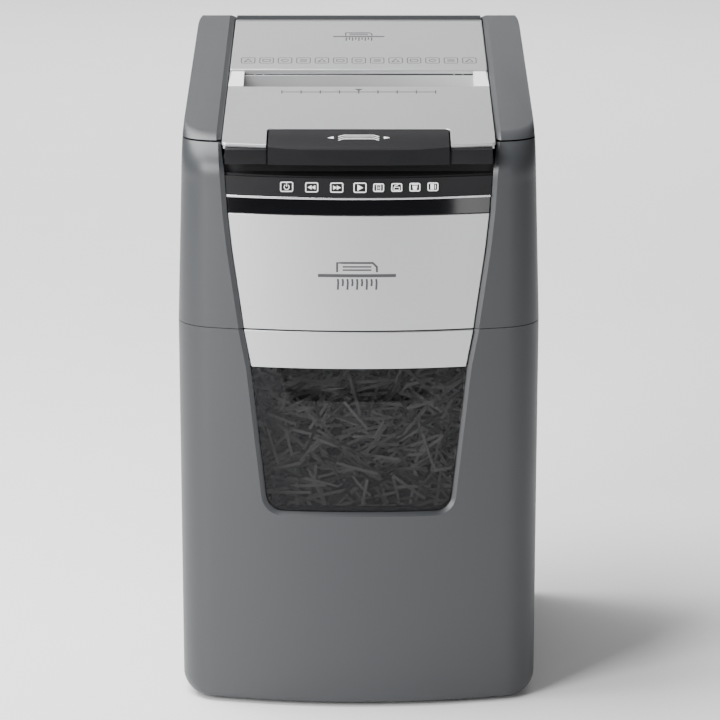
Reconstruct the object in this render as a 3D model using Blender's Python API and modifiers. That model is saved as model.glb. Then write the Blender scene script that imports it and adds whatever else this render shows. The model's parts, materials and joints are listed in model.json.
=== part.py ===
"""Floor-standing paper shredder with a stack tray under a hinged lid and a pull-out waste bin.

Metres, +Z up. The front faces -Y. The origin is on the floor, under the middle of the machine.
"""

import math

import bmesh
import bpy
from mathutils import Matrix, Vector

# Driving dimensions of the outer form
WIDTH = 0.342
DEPTH = 0.392
FRONT_Y = -DEPTH / 2
BACK_Y = DEPTH / 2
HALF_WIDTH = WIDTH / 2
FOOT_HEIGHT = 0.004
BOTTOM_Z = 0.0043
SEAM_Z = 0.368
HEAD_TOP_Z = 0.5415
LID_BOTTOM_Z = 0.543
LID_FRONT_Z = 0.541
LID_SLOPE = 0.16
LID_TOP_Z = 0.603
TOP_LIMIT_Z = 0.62
SEAM_GAP = 0.0006
FIT = 0.0003
LINE_GAP = 0.0006
CUT_PAST = 0.004

# Bounds of the boxes that pick out a region: past the sides, front, back and top, and mid height
OUT_X = 0.2
OUT_Y = 0.25
OUT_Z = 0.65
MID_Z = 0.5

# Roundings and walls of the outer form
FRONT_RADIUS = 0.5
FRONT_ARC_HALF = 0.140
BACK_CORNER = 0.020
BOTTOM_CORNER = 0.016
BROW_RADIUS = 0.045
TOP_BACK_RADIUS = 0.010
WALL = 0.003
PLAN_PAST = 0.0003
ARC_STEPS = 5
FRONT_STEPS = 14
SMOOTH_LIMIT = 32
HEAD_TOP_HALF = 0.166
LID_TOP_HALF = 0.1612
BASE_HALF = 0.169

# Front opening between the columns: half widths at their heights
COLUMN_EDGE = (
    (0.128, 0.600),
    (0.1268, 0.540),
    (0.1230, 0.480),
    (0.1190, 0.443),
    (0.1122, 0.396),
    (0.1085, 0.370),
)
WINDOW_TOP_Z = 0.3315
WINDOW_TOP_HALF = 0.1015
WINDOW_BOTTOM_Z = 0.193
WINDOW_BOTTOM_HALF = 0.0860
WINDOW_CORNER = 0.012
WINDOW_INSET = 0.001
WINDOW_THICKNESS = 0.003

# Bin
BIN_SPLIT_Y = -0.128
BIN_SIDE_GAP = 0.001
TUB_HALF = 0.149
TUB_FRONT_Y = -0.160
TUB_BACK_Y = 0.160
TUB_BOTTOM_Z = 0.0245
TUB_TOP_Z = 0.350
TUB_WALL = 0.0025
SIGHT_MARGIN = 0.004
SIGHT_BRIDGE = 0.009
HEAP_GAP = 0.001
HEAP_EDGE_Z = 0.222
HEAP_HUMP = 0.035
HEAP_COLUMNS = 6
SCOOP_HALF = 0.072
SCOOP_LOW_Z = 0.300
SCOOP_HIGH_Z = 0.347
SCOOP_DEPTH = 0.030
SCOOP_WALL = 0.002

# Cabinet
BACK_SPLIT_Y = BACK_Y - BACK_CORNER - 0.004
BASE_TOP_Z = 0.0185
BASE_FRONT_GAP = 0.004
RUNNER_X = (0.140, 0.1655)
RUNNER_WALL_X = 0.1625
RUNNER_FRONT_GAP = 0.008
RUNNER_BACK_Y = 0.160
RUNNER_Z = (0.0190, 0.0238)
RUNNER_WALL_Z = (0.020, 0.040)
FOOT_X = 0.125
FOOT_Y = (-0.098, 0.160)
FOOT_TIP_RADIUS = 0.0115
FOOT_TOP_RADIUS = 0.0130

# Head
TRIM_Z = 0.4945
TRIM_HEIGHT = 0.0022
PANEL_TOP_Z = 0.4785
STRIP_TOP_Z = 0.5135
RECESS_BACK_Y = -0.166
RECESS_WALL = 0.003
PANEL_INSET = 0.0012
STRIP_INSET = 0.0020
STRIP_THICKNESS = 0.0035
TRIM_INSET = 0.0004
TRIM_THICKNESS = 0.0013
PANEL_GAP = 0.0007
TRIM_GAP = 0.0010
BASE_THICKNESS = 0.003
DISCHARGE_HALF = 0.112
DISCHARGE_Y = (-0.043, 0.057)
BUTTON_Z = 0.5050
BUTTON_SIZE = (0.0125, 0.0100)
BUTTON_DEPTH = 0.011
BUTTON_INSET = 0.0012
LENS_INSET = 0.0016
LENS_BAR_BACK = 0.0065
LENS_BAR_THICKNESS = 0.003
LENS_BAR_END = 0.006
LENS_BAR_HALF_HEIGHT = 0.004
BUTTON_X = {
    "power_button": -0.0670,
    "reverse_button": -0.0437,
    "forward_button": -0.0204,
    "start_button": 0.0012,
}
LENS_X = (0.0185, 0.0353, 0.0522, 0.0690)
LENS_SIZE = (0.0105, 0.0085)

# Paper path
FEED_Y = 0.007
TRAY_HALF = 0.1205
TRAY_FRONT_Y = -0.150
TRAY_BACK_Y = 0.168
TRAY_FLOOR_Z = 0.497
TRAY_WALL = 0.002
THROAT_HALF = 0.1135
THROAT_GAP = 0.013
TRAY_TOP_Z = 0.5405
FLANGE_THICKNESS = 0.002
FLANGE_BACK_Y = 0.1785
FLANGE_CORNER = ((0.1235, -0.1580), (0.1420, -0.1535), (0.1515, -0.1490), (0.1590, -0.1405),
                 (0.1640, -0.1240))
ROLLER_WINDOW_END = 0.002
ROLLER_WINDOW_HALF = 0.0125
SLOT_HALF = 0.1115
SLOT_FRONT_Y = -0.0165
SLOT_BACK_Y = 0.027

# Cutting unit
CUTTER_Z = 0.425
CUTTER_HALF_DISTANCE = 0.0225
DISC_RADIUS = 0.026
SPACER_RADIUS = 0.014
DISC_WIDTH = 0.0075
DISC_PITCH = 0.018
DISC_COUNT = 12
SHAFT_RADIUS = 0.006
PLATE_X = 0.118
PLATE_THICKNESS = 0.003
ROLLER_Z = 0.487
ROLLER_HALF_DISTANCE = 0.040
ROLLER_RADIUS = 0.012
ROLLER_HALF = 0.045
FEED_SHAFT_RADIUS = 0.004
PULLEY_RADIUS = 0.010
PULLEY_X = -0.1335
PULLEY_WIDTH = 0.008
BELT_THICKNESS = 0.0015
GEAR_X = 0.1245
GEAR_WIDTH = 0.008
GEAR_MODULE = 0.0015
CUTTER_TEETH = 30
IDLER_TEETH = 35
PINION_TEETH = 10
IDLER_PIN_RADIUS = 0.005
SPINDLE_RADIUS = 0.003
STUB_OVERLAP = 0.001
ADDENDUM = 0.85
DEDENDUM = 1.15
ROOT_SHARE = 0.29
TIP_SHARE = 0.11
BEARING_GAP = 0.0004
PLATE_LOW_Z = SEAM_Z + 0.0035
PLATE_HIGH_Z = 0.4925
PLATE_STEP_Z = 0.460
PLATE_FRONT_Y = -0.055
PLATE_BACK_Y = 0.075
ROD_Z = 0.462
ROD_Y = (-0.046, 0.060)
TIE_RADIUS = 0.004
COMB_REACH = 0.034
COMB_DISC_GAP = 0.002
COMB_SPACER_GAP = 0.0015
COMB_TOOTH_HALF = 0.0035
COMB_THICKNESS = 0.003
MOTOR_RADIUS = 0.028
MOTOR_LENGTH = 0.108
MOTOR_STEP = 0.006
MOTOR_STEP_DROP = 0.003
MOTOR_TAIL = 0.010

# Lid
ARM_X = 0.1285
LID_PANEL_HALF = 0.1275
LID_PANEL_FRONT_Y = -0.190
VISOR_RADIUS = 0.9
VISOR_LIP = 0.006
FASCIA_Y = -0.186
FASCIA_HALF = 0.1245
FASCIA_THICKNESS = 0.003
LID_PANEL_BACK_Y = 0.1835
REAR_PANEL_RISE = 0.0025
PANEL_THICKNESS = 0.003
HINGE_Y = 0.1865
HINGE_Z = 0.5525
HINGE_ROUND = 0.0095
ROD_RADIUS = 0.0025
LUG_EYE = 0.0047
LUG_X = (0.097, 0.105)
TAB_HALF = 0.0845
TAB_BACK_Y = -0.139
TAB_FRONT_Y = -0.193
TAB_BOTTOM_Z = 0.5255
TAB_PIVOT_Y = -0.140
TAB_PIVOT_Z = 0.548
HOOK_Y = -0.1605
HOOK_Z = 0.5310
HOOK_HALF = 0.005
KEEPER_HALF = 0.008
KEEPER_Y = (-0.1640, -0.1520)
LINER_Z = 0.5450
LINER_THICKNESS = 0.0024
LINER_HALF = 0.1265
LINER_FRONT_Y = -0.132
LINER_BACK_Y = 0.1690
LINER_THROAT = 0.0095
FUNNEL_THROAT = 0.005
FUNNEL_WALL = 0.003
PRESS_HALF = 0.1165
PRESS_Z = 0.4996
PRESS_THICKNESS = 0.003
PRESS_MARGIN = 0.005
PRESS_SLIT_HALF = 0.1125
PRESS_SLIT_GAP = 0.005
SPRING_X = 0.060
SPRING_Y = 0.095
SPRING_RADIUS = 0.008
SPRING_WIRE = 0.0008
SPRING_TURNS = 5
SPRING_SIDES = 9

# Back fittings
INLET_X = 0.105
INLET_Z = 0.060
INLET_SIZE = (0.031, 0.025)
INLET_DEPTH = 0.022
INLET_FACE = 0.0005
SOCKET_HALF = (0.0120, 0.0085)
SOCKET_DEPTH = 0.017
BLADES = ((-0.007, -0.002), (0.0, 0.002), (0.007, -0.002))
BLADE_HALF = (0.001, 0.002)
BLADE_DEPTH = (0.018, 0.005)
BACK_HOLE_DEPTH = 0.010
ROCKER_Z = 0.110
ROCKER_SIZE = (0.015, 0.024)
ROCKER_PIVOT_Y = 0.186
ROCKER_GAP = 0.0008
ROCKER_FACE = 0.0022
ROCKER_DIP = 0.0040
ROCKER_DEPTH = 0.014
ROCKER_NECK = 0.006


# --- scene and materials -------------------------------------------------------------------------


def clear_scene():
    for item in list(bpy.data.objects):
        bpy.data.objects.remove(item)


def new_collection(name, hidden=False):
    made = bpy.data.collections.new(name)
    bpy.context.scene.collection.children.link(made)
    made.hide_render = hidden
    return made


def material(name, colour, roughness, metallic=0.0, alpha=1.0):
    made = bpy.data.materials.new(name)
    made.use_nodes = True
    shader = made.node_tree.nodes["Principled BSDF"]
    shader.inputs["Base Color"].default_value = (*colour, 1.0)
    shader.inputs["Roughness"].default_value = roughness
    shader.inputs["Metallic"].default_value = metallic
    shader.inputs["Alpha"].default_value = alpha
    made.diffuse_color = (*colour, alpha)
    return made


clear_scene()
PARTS = new_collection("paper_shredder")
CUTTERS = new_collection("cutters", hidden=True)
MATERIALS = {
    "charcoal": material("charcoal", (0.145, 0.150, 0.160), 0.45),
    "silver": material("silver", (0.52, 0.52, 0.53), 0.38, 0.35),
    "black": material("black", (0.018, 0.018, 0.020), 0.30),
    "gloss": material("gloss", (0.008, 0.008, 0.009), 0.08),
    "chrome": material("chrome", (0.80, 0.80, 0.82), 0.10, 1.0),
    "inner": material("inner", (0.045, 0.045, 0.048), 0.55),
    "smoke": material("smoke", (0.020, 0.020, 0.024), 0.06, 0.0, 0.45),
    "lens": material("lens", (0.75, 0.75, 0.75), 0.25),
    "steel": material("steel", (0.45, 0.45, 0.47), 0.35, 1.0),
    "hardened": material("hardened", (0.22, 0.22, 0.23), 0.32, 1.0),
    "gear": material("gear", (0.62, 0.60, 0.52), 0.45),
    "rubber": material("rubber", (0.020, 0.020, 0.020), 0.85),
    "motor": material("motor", (0.10, 0.10, 0.11), 0.40, 0.8),
    "board": material("board", (0.020, 0.110, 0.050), 0.45),
    "paper": material("paper", (0.80, 0.80, 0.78), 0.90),
}


# --- making and combining shapes -----------------------------------------------------------------


def placed(name, mesh, kind=None, helper=False):
    """The mesh as an object: a part with its material, or a hidden cutter."""
    made = bpy.data.objects.new(name, mesh)
    (CUTTERS if helper else PARTS).objects.link(made)
    if helper:
        made.hide_render = True
        made.display_type = "WIRE"
    if kind:
        made.data.materials.clear()
        made.data.materials.append(MATERIALS[kind])
    return made


def box(name, low, high, kind=None, helper=False):
    shape = bmesh.new()
    bmesh.ops.create_cube(shape, size=1.0)
    size = [b - a for a, b in zip(low, high)]
    middle = [(a + b) / 2 for a, b in zip(low, high)]
    bmesh.ops.transform(shape, matrix=Matrix.Translation(middle) @ Matrix.Diagonal((*size, 1.0)),
                        verts=shape.verts)
    mesh = bpy.data.meshes.new(name)
    shape.to_mesh(mesh)
    shape.free()
    return placed(name, mesh, kind, helper)


# How a flat outline's own axes lie for an extrusion along each world axis.
AXIS_FRAMES = {
    "X": Matrix(((0, 0, 1, 0), (1, 0, 0, 0), (0, 1, 0, 0), (0, 0, 0, 1))),
    "Y": Matrix(((1, 0, 0, 0), (0, 0, -1, 0), (0, 1, 0, 0), (0, 0, 0, 1))),
    "Z": Matrix.Identity(4),
}


def prism(name, outline, axis, low, high, kind=None, helper=False):
    """A closed outline extruded along X (given as y, z), Y (as x, z) or Z (as x, y), from low to high."""
    curve = bpy.data.curves.new(name, "CURVE")
    curve.dimensions = "2D"
    curve.fill_mode = "BOTH"
    curve.extrude = (high - low) / 2
    spline = curve.splines.new("POLY")
    spline.points.add(len(outline) - 1)
    for point, (u, v) in zip(spline.points, outline):
        point.co = (u, v, 0.0, 1.0)
    spline.use_cyclic_u = True
    guide = bpy.data.objects.new(name + "_outline", curve)
    bpy.context.scene.collection.objects.link(guide)
    bpy.context.view_layer.update()
    mesh = bpy.data.meshes.new_from_object(guide.evaluated_get(bpy.context.evaluated_depsgraph_get()))
    bpy.data.objects.remove(guide)
    along = Vector(((axis == "X"), (axis == "Y"), (axis == "Z"))) * ((low + high) / 2)
    mesh.transform(Matrix.Translation(along) @ AXIS_FRAMES[axis])
    return placed(name, closed(mesh), kind, helper)


def closed(mesh):
    """The mesh with its caps welded to its sides and every face turned outwards."""
    shape = bmesh.new()
    shape.from_mesh(mesh)
    bmesh.ops.remove_doubles(shape, verts=shape.verts, dist=1e-6)
    bmesh.ops.recalc_face_normals(shape, faces=shape.faces)
    shape.to_mesh(mesh)
    shape.free()
    return mesh


def turned(name, profile, centre, kind=None, helper=False, steps=20):
    """A profile of (x along the axis, radius) pairs from low x to high x, turned about an axis along X."""
    mesh = bpy.data.meshes.new(name)
    points = [(radius, 0.0, -along) for along, radius in profile]
    mesh.from_pydata(points, [(i, i + 1) for i in range(len(points) - 1)], [])
    made = placed(name, mesh, kind, helper)
    screw = made.modifiers.new("turn", "SCREW")
    screw.steps = screw.render_steps = steps
    screw.use_merge_vertices = True
    screw.merge_threshold = 1e-6
    made.location = (0.0, centre[0], centre[1])
    made.rotation_euler = (0.0, -math.pi / 2, 0.0)
    return made


def shaft_profile(*stretches):
    """(low x, high x, radius) stretches, end to end, as a closed turned profile."""
    points = [(stretches[0][0], 0.0)]
    for low, high, radius in stretches:
        points += [(low, radius), (high, radius)]
    return points + [(stretches[-1][1], 0.0)]


def attach(child, parent):
    """Parents one object to another and leaves it where it is."""
    child.parent = parent
    child.matrix_parent_inverse = parent.matrix_basis.inverted()


def on_axis(made, point):
    """The object with its origin moved to a point on its joint's axis, its shape left where it is."""
    made.data.transform(Matrix.Translation([-value for value in point]))
    made.location = point
    return made


def carrier(name, point, pieces):
    """An empty on a joint's axis that carries the named pieces."""
    made = bpy.data.objects.new(name, None)
    made.empty_display_size = 0.02
    made.location = point
    PARTS.objects.link(made)
    for piece in pieces:
        attach(bpy.data.objects[piece], made)


def combine(target, other, operation):
    """A Boolean of two objects, whose second one then moves with the first."""
    attach(other, target)
    change = target.modifiers.new(operation.lower(), "BOOLEAN")
    change.operation = operation
    change.object = other
    change.solver = "EXACT"
    return target


def cut(target, *others):
    for other in others:
        combine(target, other, "DIFFERENCE")
    return target


def keep(target, *others):
    for other in others:
        combine(target, other, "INTERSECT")
    return target


def join(target, *others):
    for other in others:
        combine(target, other, "UNION")
    return target


def arc(centre, radius, start, end, steps=ARC_STEPS):
    """Points on a circle from one angle in degrees to another, both ends included."""
    angles = [math.radians(start + (end - start) * i / steps) for i in range(steps + 1)]
    return [(centre[0] + radius * math.cos(a), centre[1] + radius * math.sin(a)) for a in angles]


def mirrored(half):
    """A half outline at +x, from the lower end to the upper end, with its mirror image."""
    return half + [(-x, y) for x, y in reversed(half)]


# --- outer form ----------------------------------------------------------------------------------


def front_y(x, inset=0.0):
    """Where the bowed front face lies at x."""
    return FRONT_Y + inset + x * x / (2 * FRONT_RADIUS)


def plan_outline(inset=0.0):
    """The machine from above: a bowed front, large front corners, straight sides and a flat back.

    Its sides lie just outside those of the front view, which so set the width at every height.
    """
    tilt = math.degrees(math.asin(FRONT_ARC_HALF / FRONT_RADIUS))
    side = HALF_WIDTH + PLAN_PAST
    corner = (side - FRONT_ARC_HALF) / (1 - math.sin(math.radians(tilt)))
    centre = (side - corner, front_y(FRONT_ARC_HALF) + corner * math.cos(math.radians(tilt)))
    bow = [FRONT_ARC_HALF * i / (FRONT_STEPS // 2) for i in range(FRONT_STEPS // 2)]
    half = [(x, front_y(x, inset)) for x in bow if x > 0]
    half += arc(centre, corner - inset, tilt - 90, 0)
    back = (side - BACK_CORNER, BACK_Y - BACK_CORNER)
    half += arc(back, BACK_CORNER - inset, 0, 90)
    return [(0.0, front_y(0.0, inset))] + mirrored(half)


def elevation_outline(inset=0.0, open_below=False):
    """The machine from the front: rounded lower corners and sides that lean in above the seam."""
    half = [(BASE_HALF - inset, -CUT_PAST)]
    if not open_below:
        low = (BASE_HALF - BOTTOM_CORNER, BOTTOM_Z + BOTTOM_CORNER)
        half = arc(low, BOTTOM_CORNER - inset, -90, 0, 4)
    half += [(HALF_WIDTH - inset, SEAM_Z - SEAM_GAP / 2),
             (HEAD_TOP_HALF - inset, (HEAD_TOP_Z + LID_BOTTOM_Z) / 2)]
    half += [(LID_TOP_HALF - inset, LID_TOP_Z), (LID_TOP_HALF - inset, TOP_LIMIT_Z)]
    return mirrored(half)


def lid_height(y, rise=0.0):
    """Height of the sloping top at y."""
    return LID_FRONT_Z + rise + LID_SLOPE * (y - FRONT_Y)


def side_outline(inset=0.0, low=0.0, rounded_hinge=False):
    """The machine from the side: upright front, a rounded brow, and a top that climbs to the back."""
    slope = math.degrees(math.atan(LID_SLOPE))
    lift = BROW_RADIUS / math.cos(math.radians(slope))
    brow_y = FRONT_Y + BROW_RADIUS
    brow = (brow_y, lid_height(brow_y) - lift)
    back_y = BACK_Y - TOP_BACK_RADIUS
    back = (back_y, lid_height(back_y) - TOP_BACK_RADIUS / math.cos(math.radians(slope)))
    points = arc(brow, BROW_RADIUS - inset, 180, 90 + slope, 6)
    points += arc(back, TOP_BACK_RADIUS - inset, 90 + slope, 0, 4)
    if rounded_hinge:
        points += arc((HINGE_Y, HINGE_Z), HINGE_ROUND - inset, 0, -90)
        return points + [(HINGE_Y, low), (FRONT_Y + inset, low)]
    return points + [(BACK_Y - inset, low), (FRONT_Y + inset, low)]


def form(name, inset=0.0, low=0.0, high=TOP_LIMIT_Z, kind=None, open_below=True, helper=True):
    """The outer form between two heights, moved inwards by inset."""
    start = low if open_below else -CUT_PAST
    made = prism(name, plan_outline(inset), "Z", start, high, kind, helper)
    outline = elevation_outline(inset, open_below)
    front = prism(name + "_elevation", outline, "Y", FRONT_Y - CUT_PAST, BACK_Y + CUT_PAST, helper=True)
    side = prism(name + "_side", side_outline(inset, -CUT_PAST), "X", -HALF_WIDTH - CUT_PAST,
                 HALF_WIDTH + CUT_PAST, helper=True)
    return keep(made, front, side)


def skin(name, outer, inner, low, high, kind, open_below=True):
    """The wall between two insets of the outer form, open above, and below unless it has a floor."""
    core = form(name + "_core", inner, low - CUT_PAST, high + CUT_PAST, open_below=open_below)
    made = form(name, outer, low, high, kind, open_below, helper=False)
    return cut(made, core)


def opening_half(gap=0.0):
    """Half of the front opening from the seam up, as (half width, height)."""
    return [(x - gap, z) for x, z in reversed(COLUMN_EDGE)]


def window_outline(low, high, gap=0.0):
    """The trapezoid with round lower corners, between two heights and narrowed by gap."""
    slope = (WINDOW_TOP_HALF - WINDOW_BOTTOM_HALF) / (WINDOW_TOP_Z - WINDOW_BOTTOM_Z)
    lean = math.degrees(math.atan(slope))
    radius = max(WINDOW_CORNER - gap, 0.001)
    half = [(WINDOW_BOTTOM_HALF + slope * (high - WINDOW_BOTTOM_Z) - gap, high)]
    foot = WINDOW_BOTTOM_HALF + slope * (low - WINDOW_BOTTOM_Z) - gap
    if low > WINDOW_BOTTOM_Z + WINDOW_CORNER:
        return mirrored([(foot, low)] + half)
    corner = (foot - radius, low + radius)
    return mirrored(arc(corner, radius, -90, -lean, 4) + half)


def front_slab(name, outline):
    """An outline in the front view that reaches from before the front to behind its skin."""
    return prism(name, outline, "Y", FRONT_Y - CUT_PAST, FRONT_Y + 0.060, helper=True)


# --- waste bin -----------------------------------------------------------------------------------


def bin_top_half():
    return COLUMN_EDGE[-1][0]


def build_bin_front():
    made = skin("bin_front", 0.0, WALL, BOTTOM_Z, SEAM_Z - SEAM_GAP, "charcoal", open_below=False)
    keep(made, box("bin_front_zone", (-OUT_X, -OUT_Y, 0.0), (OUT_X, BIN_SPLIT_Y, MID_Z), helper=True))
    return cut(made, front_slab("bin_front_hole", bin_hole_outline(0.0)))


def bin_hole_outline(gap):
    """The window and the panel above it as one opening, open at the seam."""
    lower = window_outline(WINDOW_BOTTOM_Z + gap, WINDOW_TOP_Z, gap)
    half = [point for point in lower if point[0] > 0]
    return mirrored(half + [(bin_top_half() - gap, SEAM_Z + CUT_PAST)])


def build_bin_panel():
    made = skin("bin_panel", 0.0, WALL, WINDOW_TOP_Z + FIT, SEAM_Z - SEAM_GAP, "silver")
    half = [(WINDOW_TOP_HALF - LINE_GAP, WINDOW_TOP_Z), (bin_top_half() - LINE_GAP, SEAM_Z + CUT_PAST)]
    return keep(made, front_slab("bin_panel_zone", mirrored(half)))


def build_bin_window():
    made = skin("bin_window", WINDOW_INSET, WINDOW_INSET + WINDOW_THICKNESS, WINDOW_BOTTOM_Z,
                WINDOW_TOP_Z - FIT, "smoke")
    keep(made, front_slab("bin_window_zone", window_outline(WINDOW_BOTTOM_Z + LINE_GAP, WINDOW_TOP_Z,
                                                            LINE_GAP)))
    pocket_back = FRONT_Y + SCOOP_DEPTH
    low = (-SCOOP_HALF - SCOOP_WALL, FRONT_Y, SCOOP_LOW_Z - SCOOP_WALL)
    high = (SCOOP_HALF + SCOOP_WALL, pocket_back, SCOOP_HIGH_Z + SCOOP_WALL)
    pocket = box("scoop_shell", low, high, helper=True)
    keep(pocket, form("scoop_behind_panel", WALL + FIT, WINDOW_BOTTOM_Z, HEAD_TOP_Z))
    join(made, pocket)
    inside_low = (-SCOOP_HALF, FRONT_Y - CUT_PAST, SCOOP_LOW_Z)
    inside_high = (SCOOP_HALF, pocket_back - SCOOP_WALL, SCOOP_HIGH_Z)
    inside = box("scoop_inside", inside_low, inside_high, helper=True)
    return cut(made, inside)


def build_bin_tub():
    low = (-TUB_HALF, TUB_FRONT_Y, TUB_BOTTOM_Z)
    high = (TUB_HALF, TUB_BACK_Y, TUB_TOP_Z)
    made = box("bin_tub", low, high, "inner")
    room_low = [a + TUB_WALL for a in low]
    room_high = (TUB_HALF - TUB_WALL, TUB_BACK_Y - TUB_WALL, TUB_TOP_Z + CUT_PAST)
    cut(made, box("tub_room", room_low, room_high, helper=True))
    outline = window_outline(WINDOW_BOTTOM_Z - SIGHT_MARGIN, TUB_TOP_Z - SIGHT_BRIDGE, -SIGHT_MARGIN / 2)
    sight = prism("tub_sight", outline, "Y", TUB_FRONT_Y - CUT_PAST, TUB_FRONT_Y + TUB_WALL + CUT_PAST,
                  helper=True)
    return cut(made, sight)


def build_shreds():
    """The heap of cut paper as one plain solid, humped towards the middle."""
    half = TUB_HALF - TUB_WALL - HEAP_GAP
    low_z = TUB_BOTTOM_Z + TUB_WALL + HEAP_GAP / 2
    shape = bmesh.new()
    bmesh.ops.create_grid(shape, x_segments=HEAP_COLUMNS, y_segments=HEAP_COLUMNS, size=1.0)
    depth = (TUB_BACK_Y - TUB_FRONT_Y) / 2 - TUB_WALL - HEAP_GAP
    for vert in shape.verts:
        hump = math.cos(vert.co.x * math.pi / 2) * math.cos(vert.co.y * math.pi / 2)
        middle = (TUB_BACK_Y + TUB_FRONT_Y) / 2
        vert.co = (vert.co.x * half, middle + vert.co.y * depth, HEAP_EDGE_Z + HEAP_HUMP * hump)
    grown = bmesh.ops.extrude_face_region(shape, geom=list(shape.faces))
    for vert in [item for item in grown["geom"] if isinstance(item, bmesh.types.BMVert)]:
        vert.co.z = low_z
    bmesh.ops.recalc_face_normals(shape, faces=shape.faces)
    mesh = bpy.data.meshes.new("paper_shreds")
    shape.to_mesh(mesh)
    shape.free()
    return placed("paper_shreds", mesh, "paper")


# --- cabinet -------------------------------------------------------------------------------------


def build_cabinet():
    for name, side in (("cabinet_side_left", -1), ("cabinet_side_right", 1)):
        made = skin(name, 0.0, WALL, BOTTOM_Z, SEAM_Z - SEAM_GAP, "charcoal", open_below=False)
        low, high = sorted((side * OUT_X / 2, side * OUT_X))
        zone = box(name + "_zone", (low, BIN_SPLIT_Y + BIN_SIDE_GAP, 0.0),
                   (high, BACK_SPLIT_Y, MID_Z), helper=True)
        keep(made, zone)
    back = skin("cabinet_back", 0.0, WALL, BOTTOM_Z, SEAM_Z - SEAM_GAP, "charcoal", open_below=False)
    keep(back, box("cabinet_back_zone", (-OUT_X, BACK_SPLIT_Y + FIT, 0.0), (OUT_X, OUT_Y, MID_Z),
                   helper=True))
    cut(back, back_hole("inlet_hole", INLET_Z, INLET_SIZE, FIT),
        back_hole("rocker_hole", ROCKER_Z, ROCKER_SIZE, ROCKER_GAP))
    base = form("base_plate", WALL + FIT, 0.0, BASE_TOP_Z, "inner", open_below=False, helper=False)
    keep(base, box("base_zone", (-OUT_X, BIN_SPLIT_Y + BASE_FRONT_GAP, 0.0), (OUT_X, OUT_Y, MID_Z),
                   helper=True))
    for name, side in (("bin_runner_left", -1), ("bin_runner_right", 1)):
        build_runner(name, side)


def build_runner(name, side):
    """A rail that the bin slides on, with a low wall outside it."""
    front = BIN_SPLIT_Y + RUNNER_FRONT_GAP
    low, high = sorted((side * RUNNER_X[0], side * RUNNER_X[1]))
    shelf = box(name, (low, front, RUNNER_Z[0]), (high, RUNNER_BACK_Y, RUNNER_Z[1]), "steel")
    low, high = sorted((side * RUNNER_WALL_X, side * RUNNER_X[1]))
    wall = box(name + "_wall", (low, front, RUNNER_WALL_Z[0]), (high, RUNNER_BACK_Y, RUNNER_WALL_Z[1]),
               helper=True)
    return join(shelf, wall)


def back_hole(name, height, size, gap):
    low = (INLET_X - size[0] / 2 - gap, BACK_Y - BACK_HOLE_DEPTH, height - size[1] / 2 - gap)
    high = (INLET_X + size[0] / 2 + gap, BACK_Y + CUT_PAST, height + size[1] / 2 + gap)
    return box(name, low, high, helper=True)


def build_mains_inlet():
    half_x, half_z = INLET_SIZE[0] / 2, INLET_SIZE[1] / 2
    inlet = box("mains_inlet", (INLET_X - half_x, BACK_Y - INLET_DEPTH, INLET_Z - half_z),
                (INLET_X + half_x, BACK_Y - INLET_FACE, INLET_Z + half_z), "black")
    socket_x, socket_z = SOCKET_HALF
    cut(inlet, box("inlet_socket", (INLET_X - socket_x, BACK_Y - SOCKET_DEPTH, INLET_Z - socket_z),
                   (INLET_X + socket_x, BACK_Y + CUT_PAST, INLET_Z + socket_z), helper=True))
    wide, tall = BLADE_HALF
    for index, (x, z) in enumerate(BLADES):
        low = (INLET_X + x - wide, BACK_Y - BLADE_DEPTH[0], INLET_Z + z - tall)
        high = (INLET_X + x + wide, BACK_Y - BLADE_DEPTH[1], INLET_Z + z + tall)
        join(inlet, box("inlet_blade_%d" % index, low, high, helper=True))


def build_mains_rocker():
    high = ROCKER_SIZE[1] / 2 - ROCKER_GAP * 3 / 4
    outline = [(BACK_Y - ROCKER_DEPTH, ROCKER_Z - ROCKER_NECK), (BACK_Y - ROCKER_FACE, ROCKER_Z - high),
               (BACK_Y - ROCKER_DIP, ROCKER_Z), (BACK_Y - ROCKER_FACE, ROCKER_Z + high),
               (BACK_Y - ROCKER_DEPTH, ROCKER_Z + ROCKER_NECK)]
    half = ROCKER_SIZE[0] / 2
    rocker = prism("mains_rocker", outline, "X", INLET_X - half, INLET_X + half, "black")
    on_axis(rocker, (INLET_X, ROCKER_PIVOT_Y, ROCKER_Z))


def build_feet():
    places = {"front_left": (-FOOT_X, FOOT_Y[0]), "front_right": (FOOT_X, FOOT_Y[0]),
              "rear_left": (-FOOT_X, FOOT_Y[1]), "rear_right": (FOOT_X, FOOT_Y[1])}
    for where, (x, y) in places.items():
        outline = [(0.0, 0.0), (FOOT_TIP_RADIUS, 0.0), (FOOT_TOP_RADIUS, FOOT_HEIGHT), (0.0, FOOT_HEIGHT)]
        mesh = bpy.data.meshes.new("foot_" + where)
        mesh.from_pydata([(r, 0.0, z) for r, z in reversed(outline)], [(0, 1), (1, 2), (2, 3)], [])
        made = placed("foot_" + where, mesh, "rubber")
        screw = made.modifiers.new("turn", "SCREW")
        screw.steps = screw.render_steps = 16
        screw.use_merge_vertices = True
        screw.merge_threshold = 1e-6
        made.location = (x, y, 0.0)


# --- head ----------------------------------------------------------------------------------------


def head_opening(gap):
    half = opening_half(gap)
    return mirrored([(half[0][0], SEAM_Z - CUT_PAST)] + half)


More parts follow.
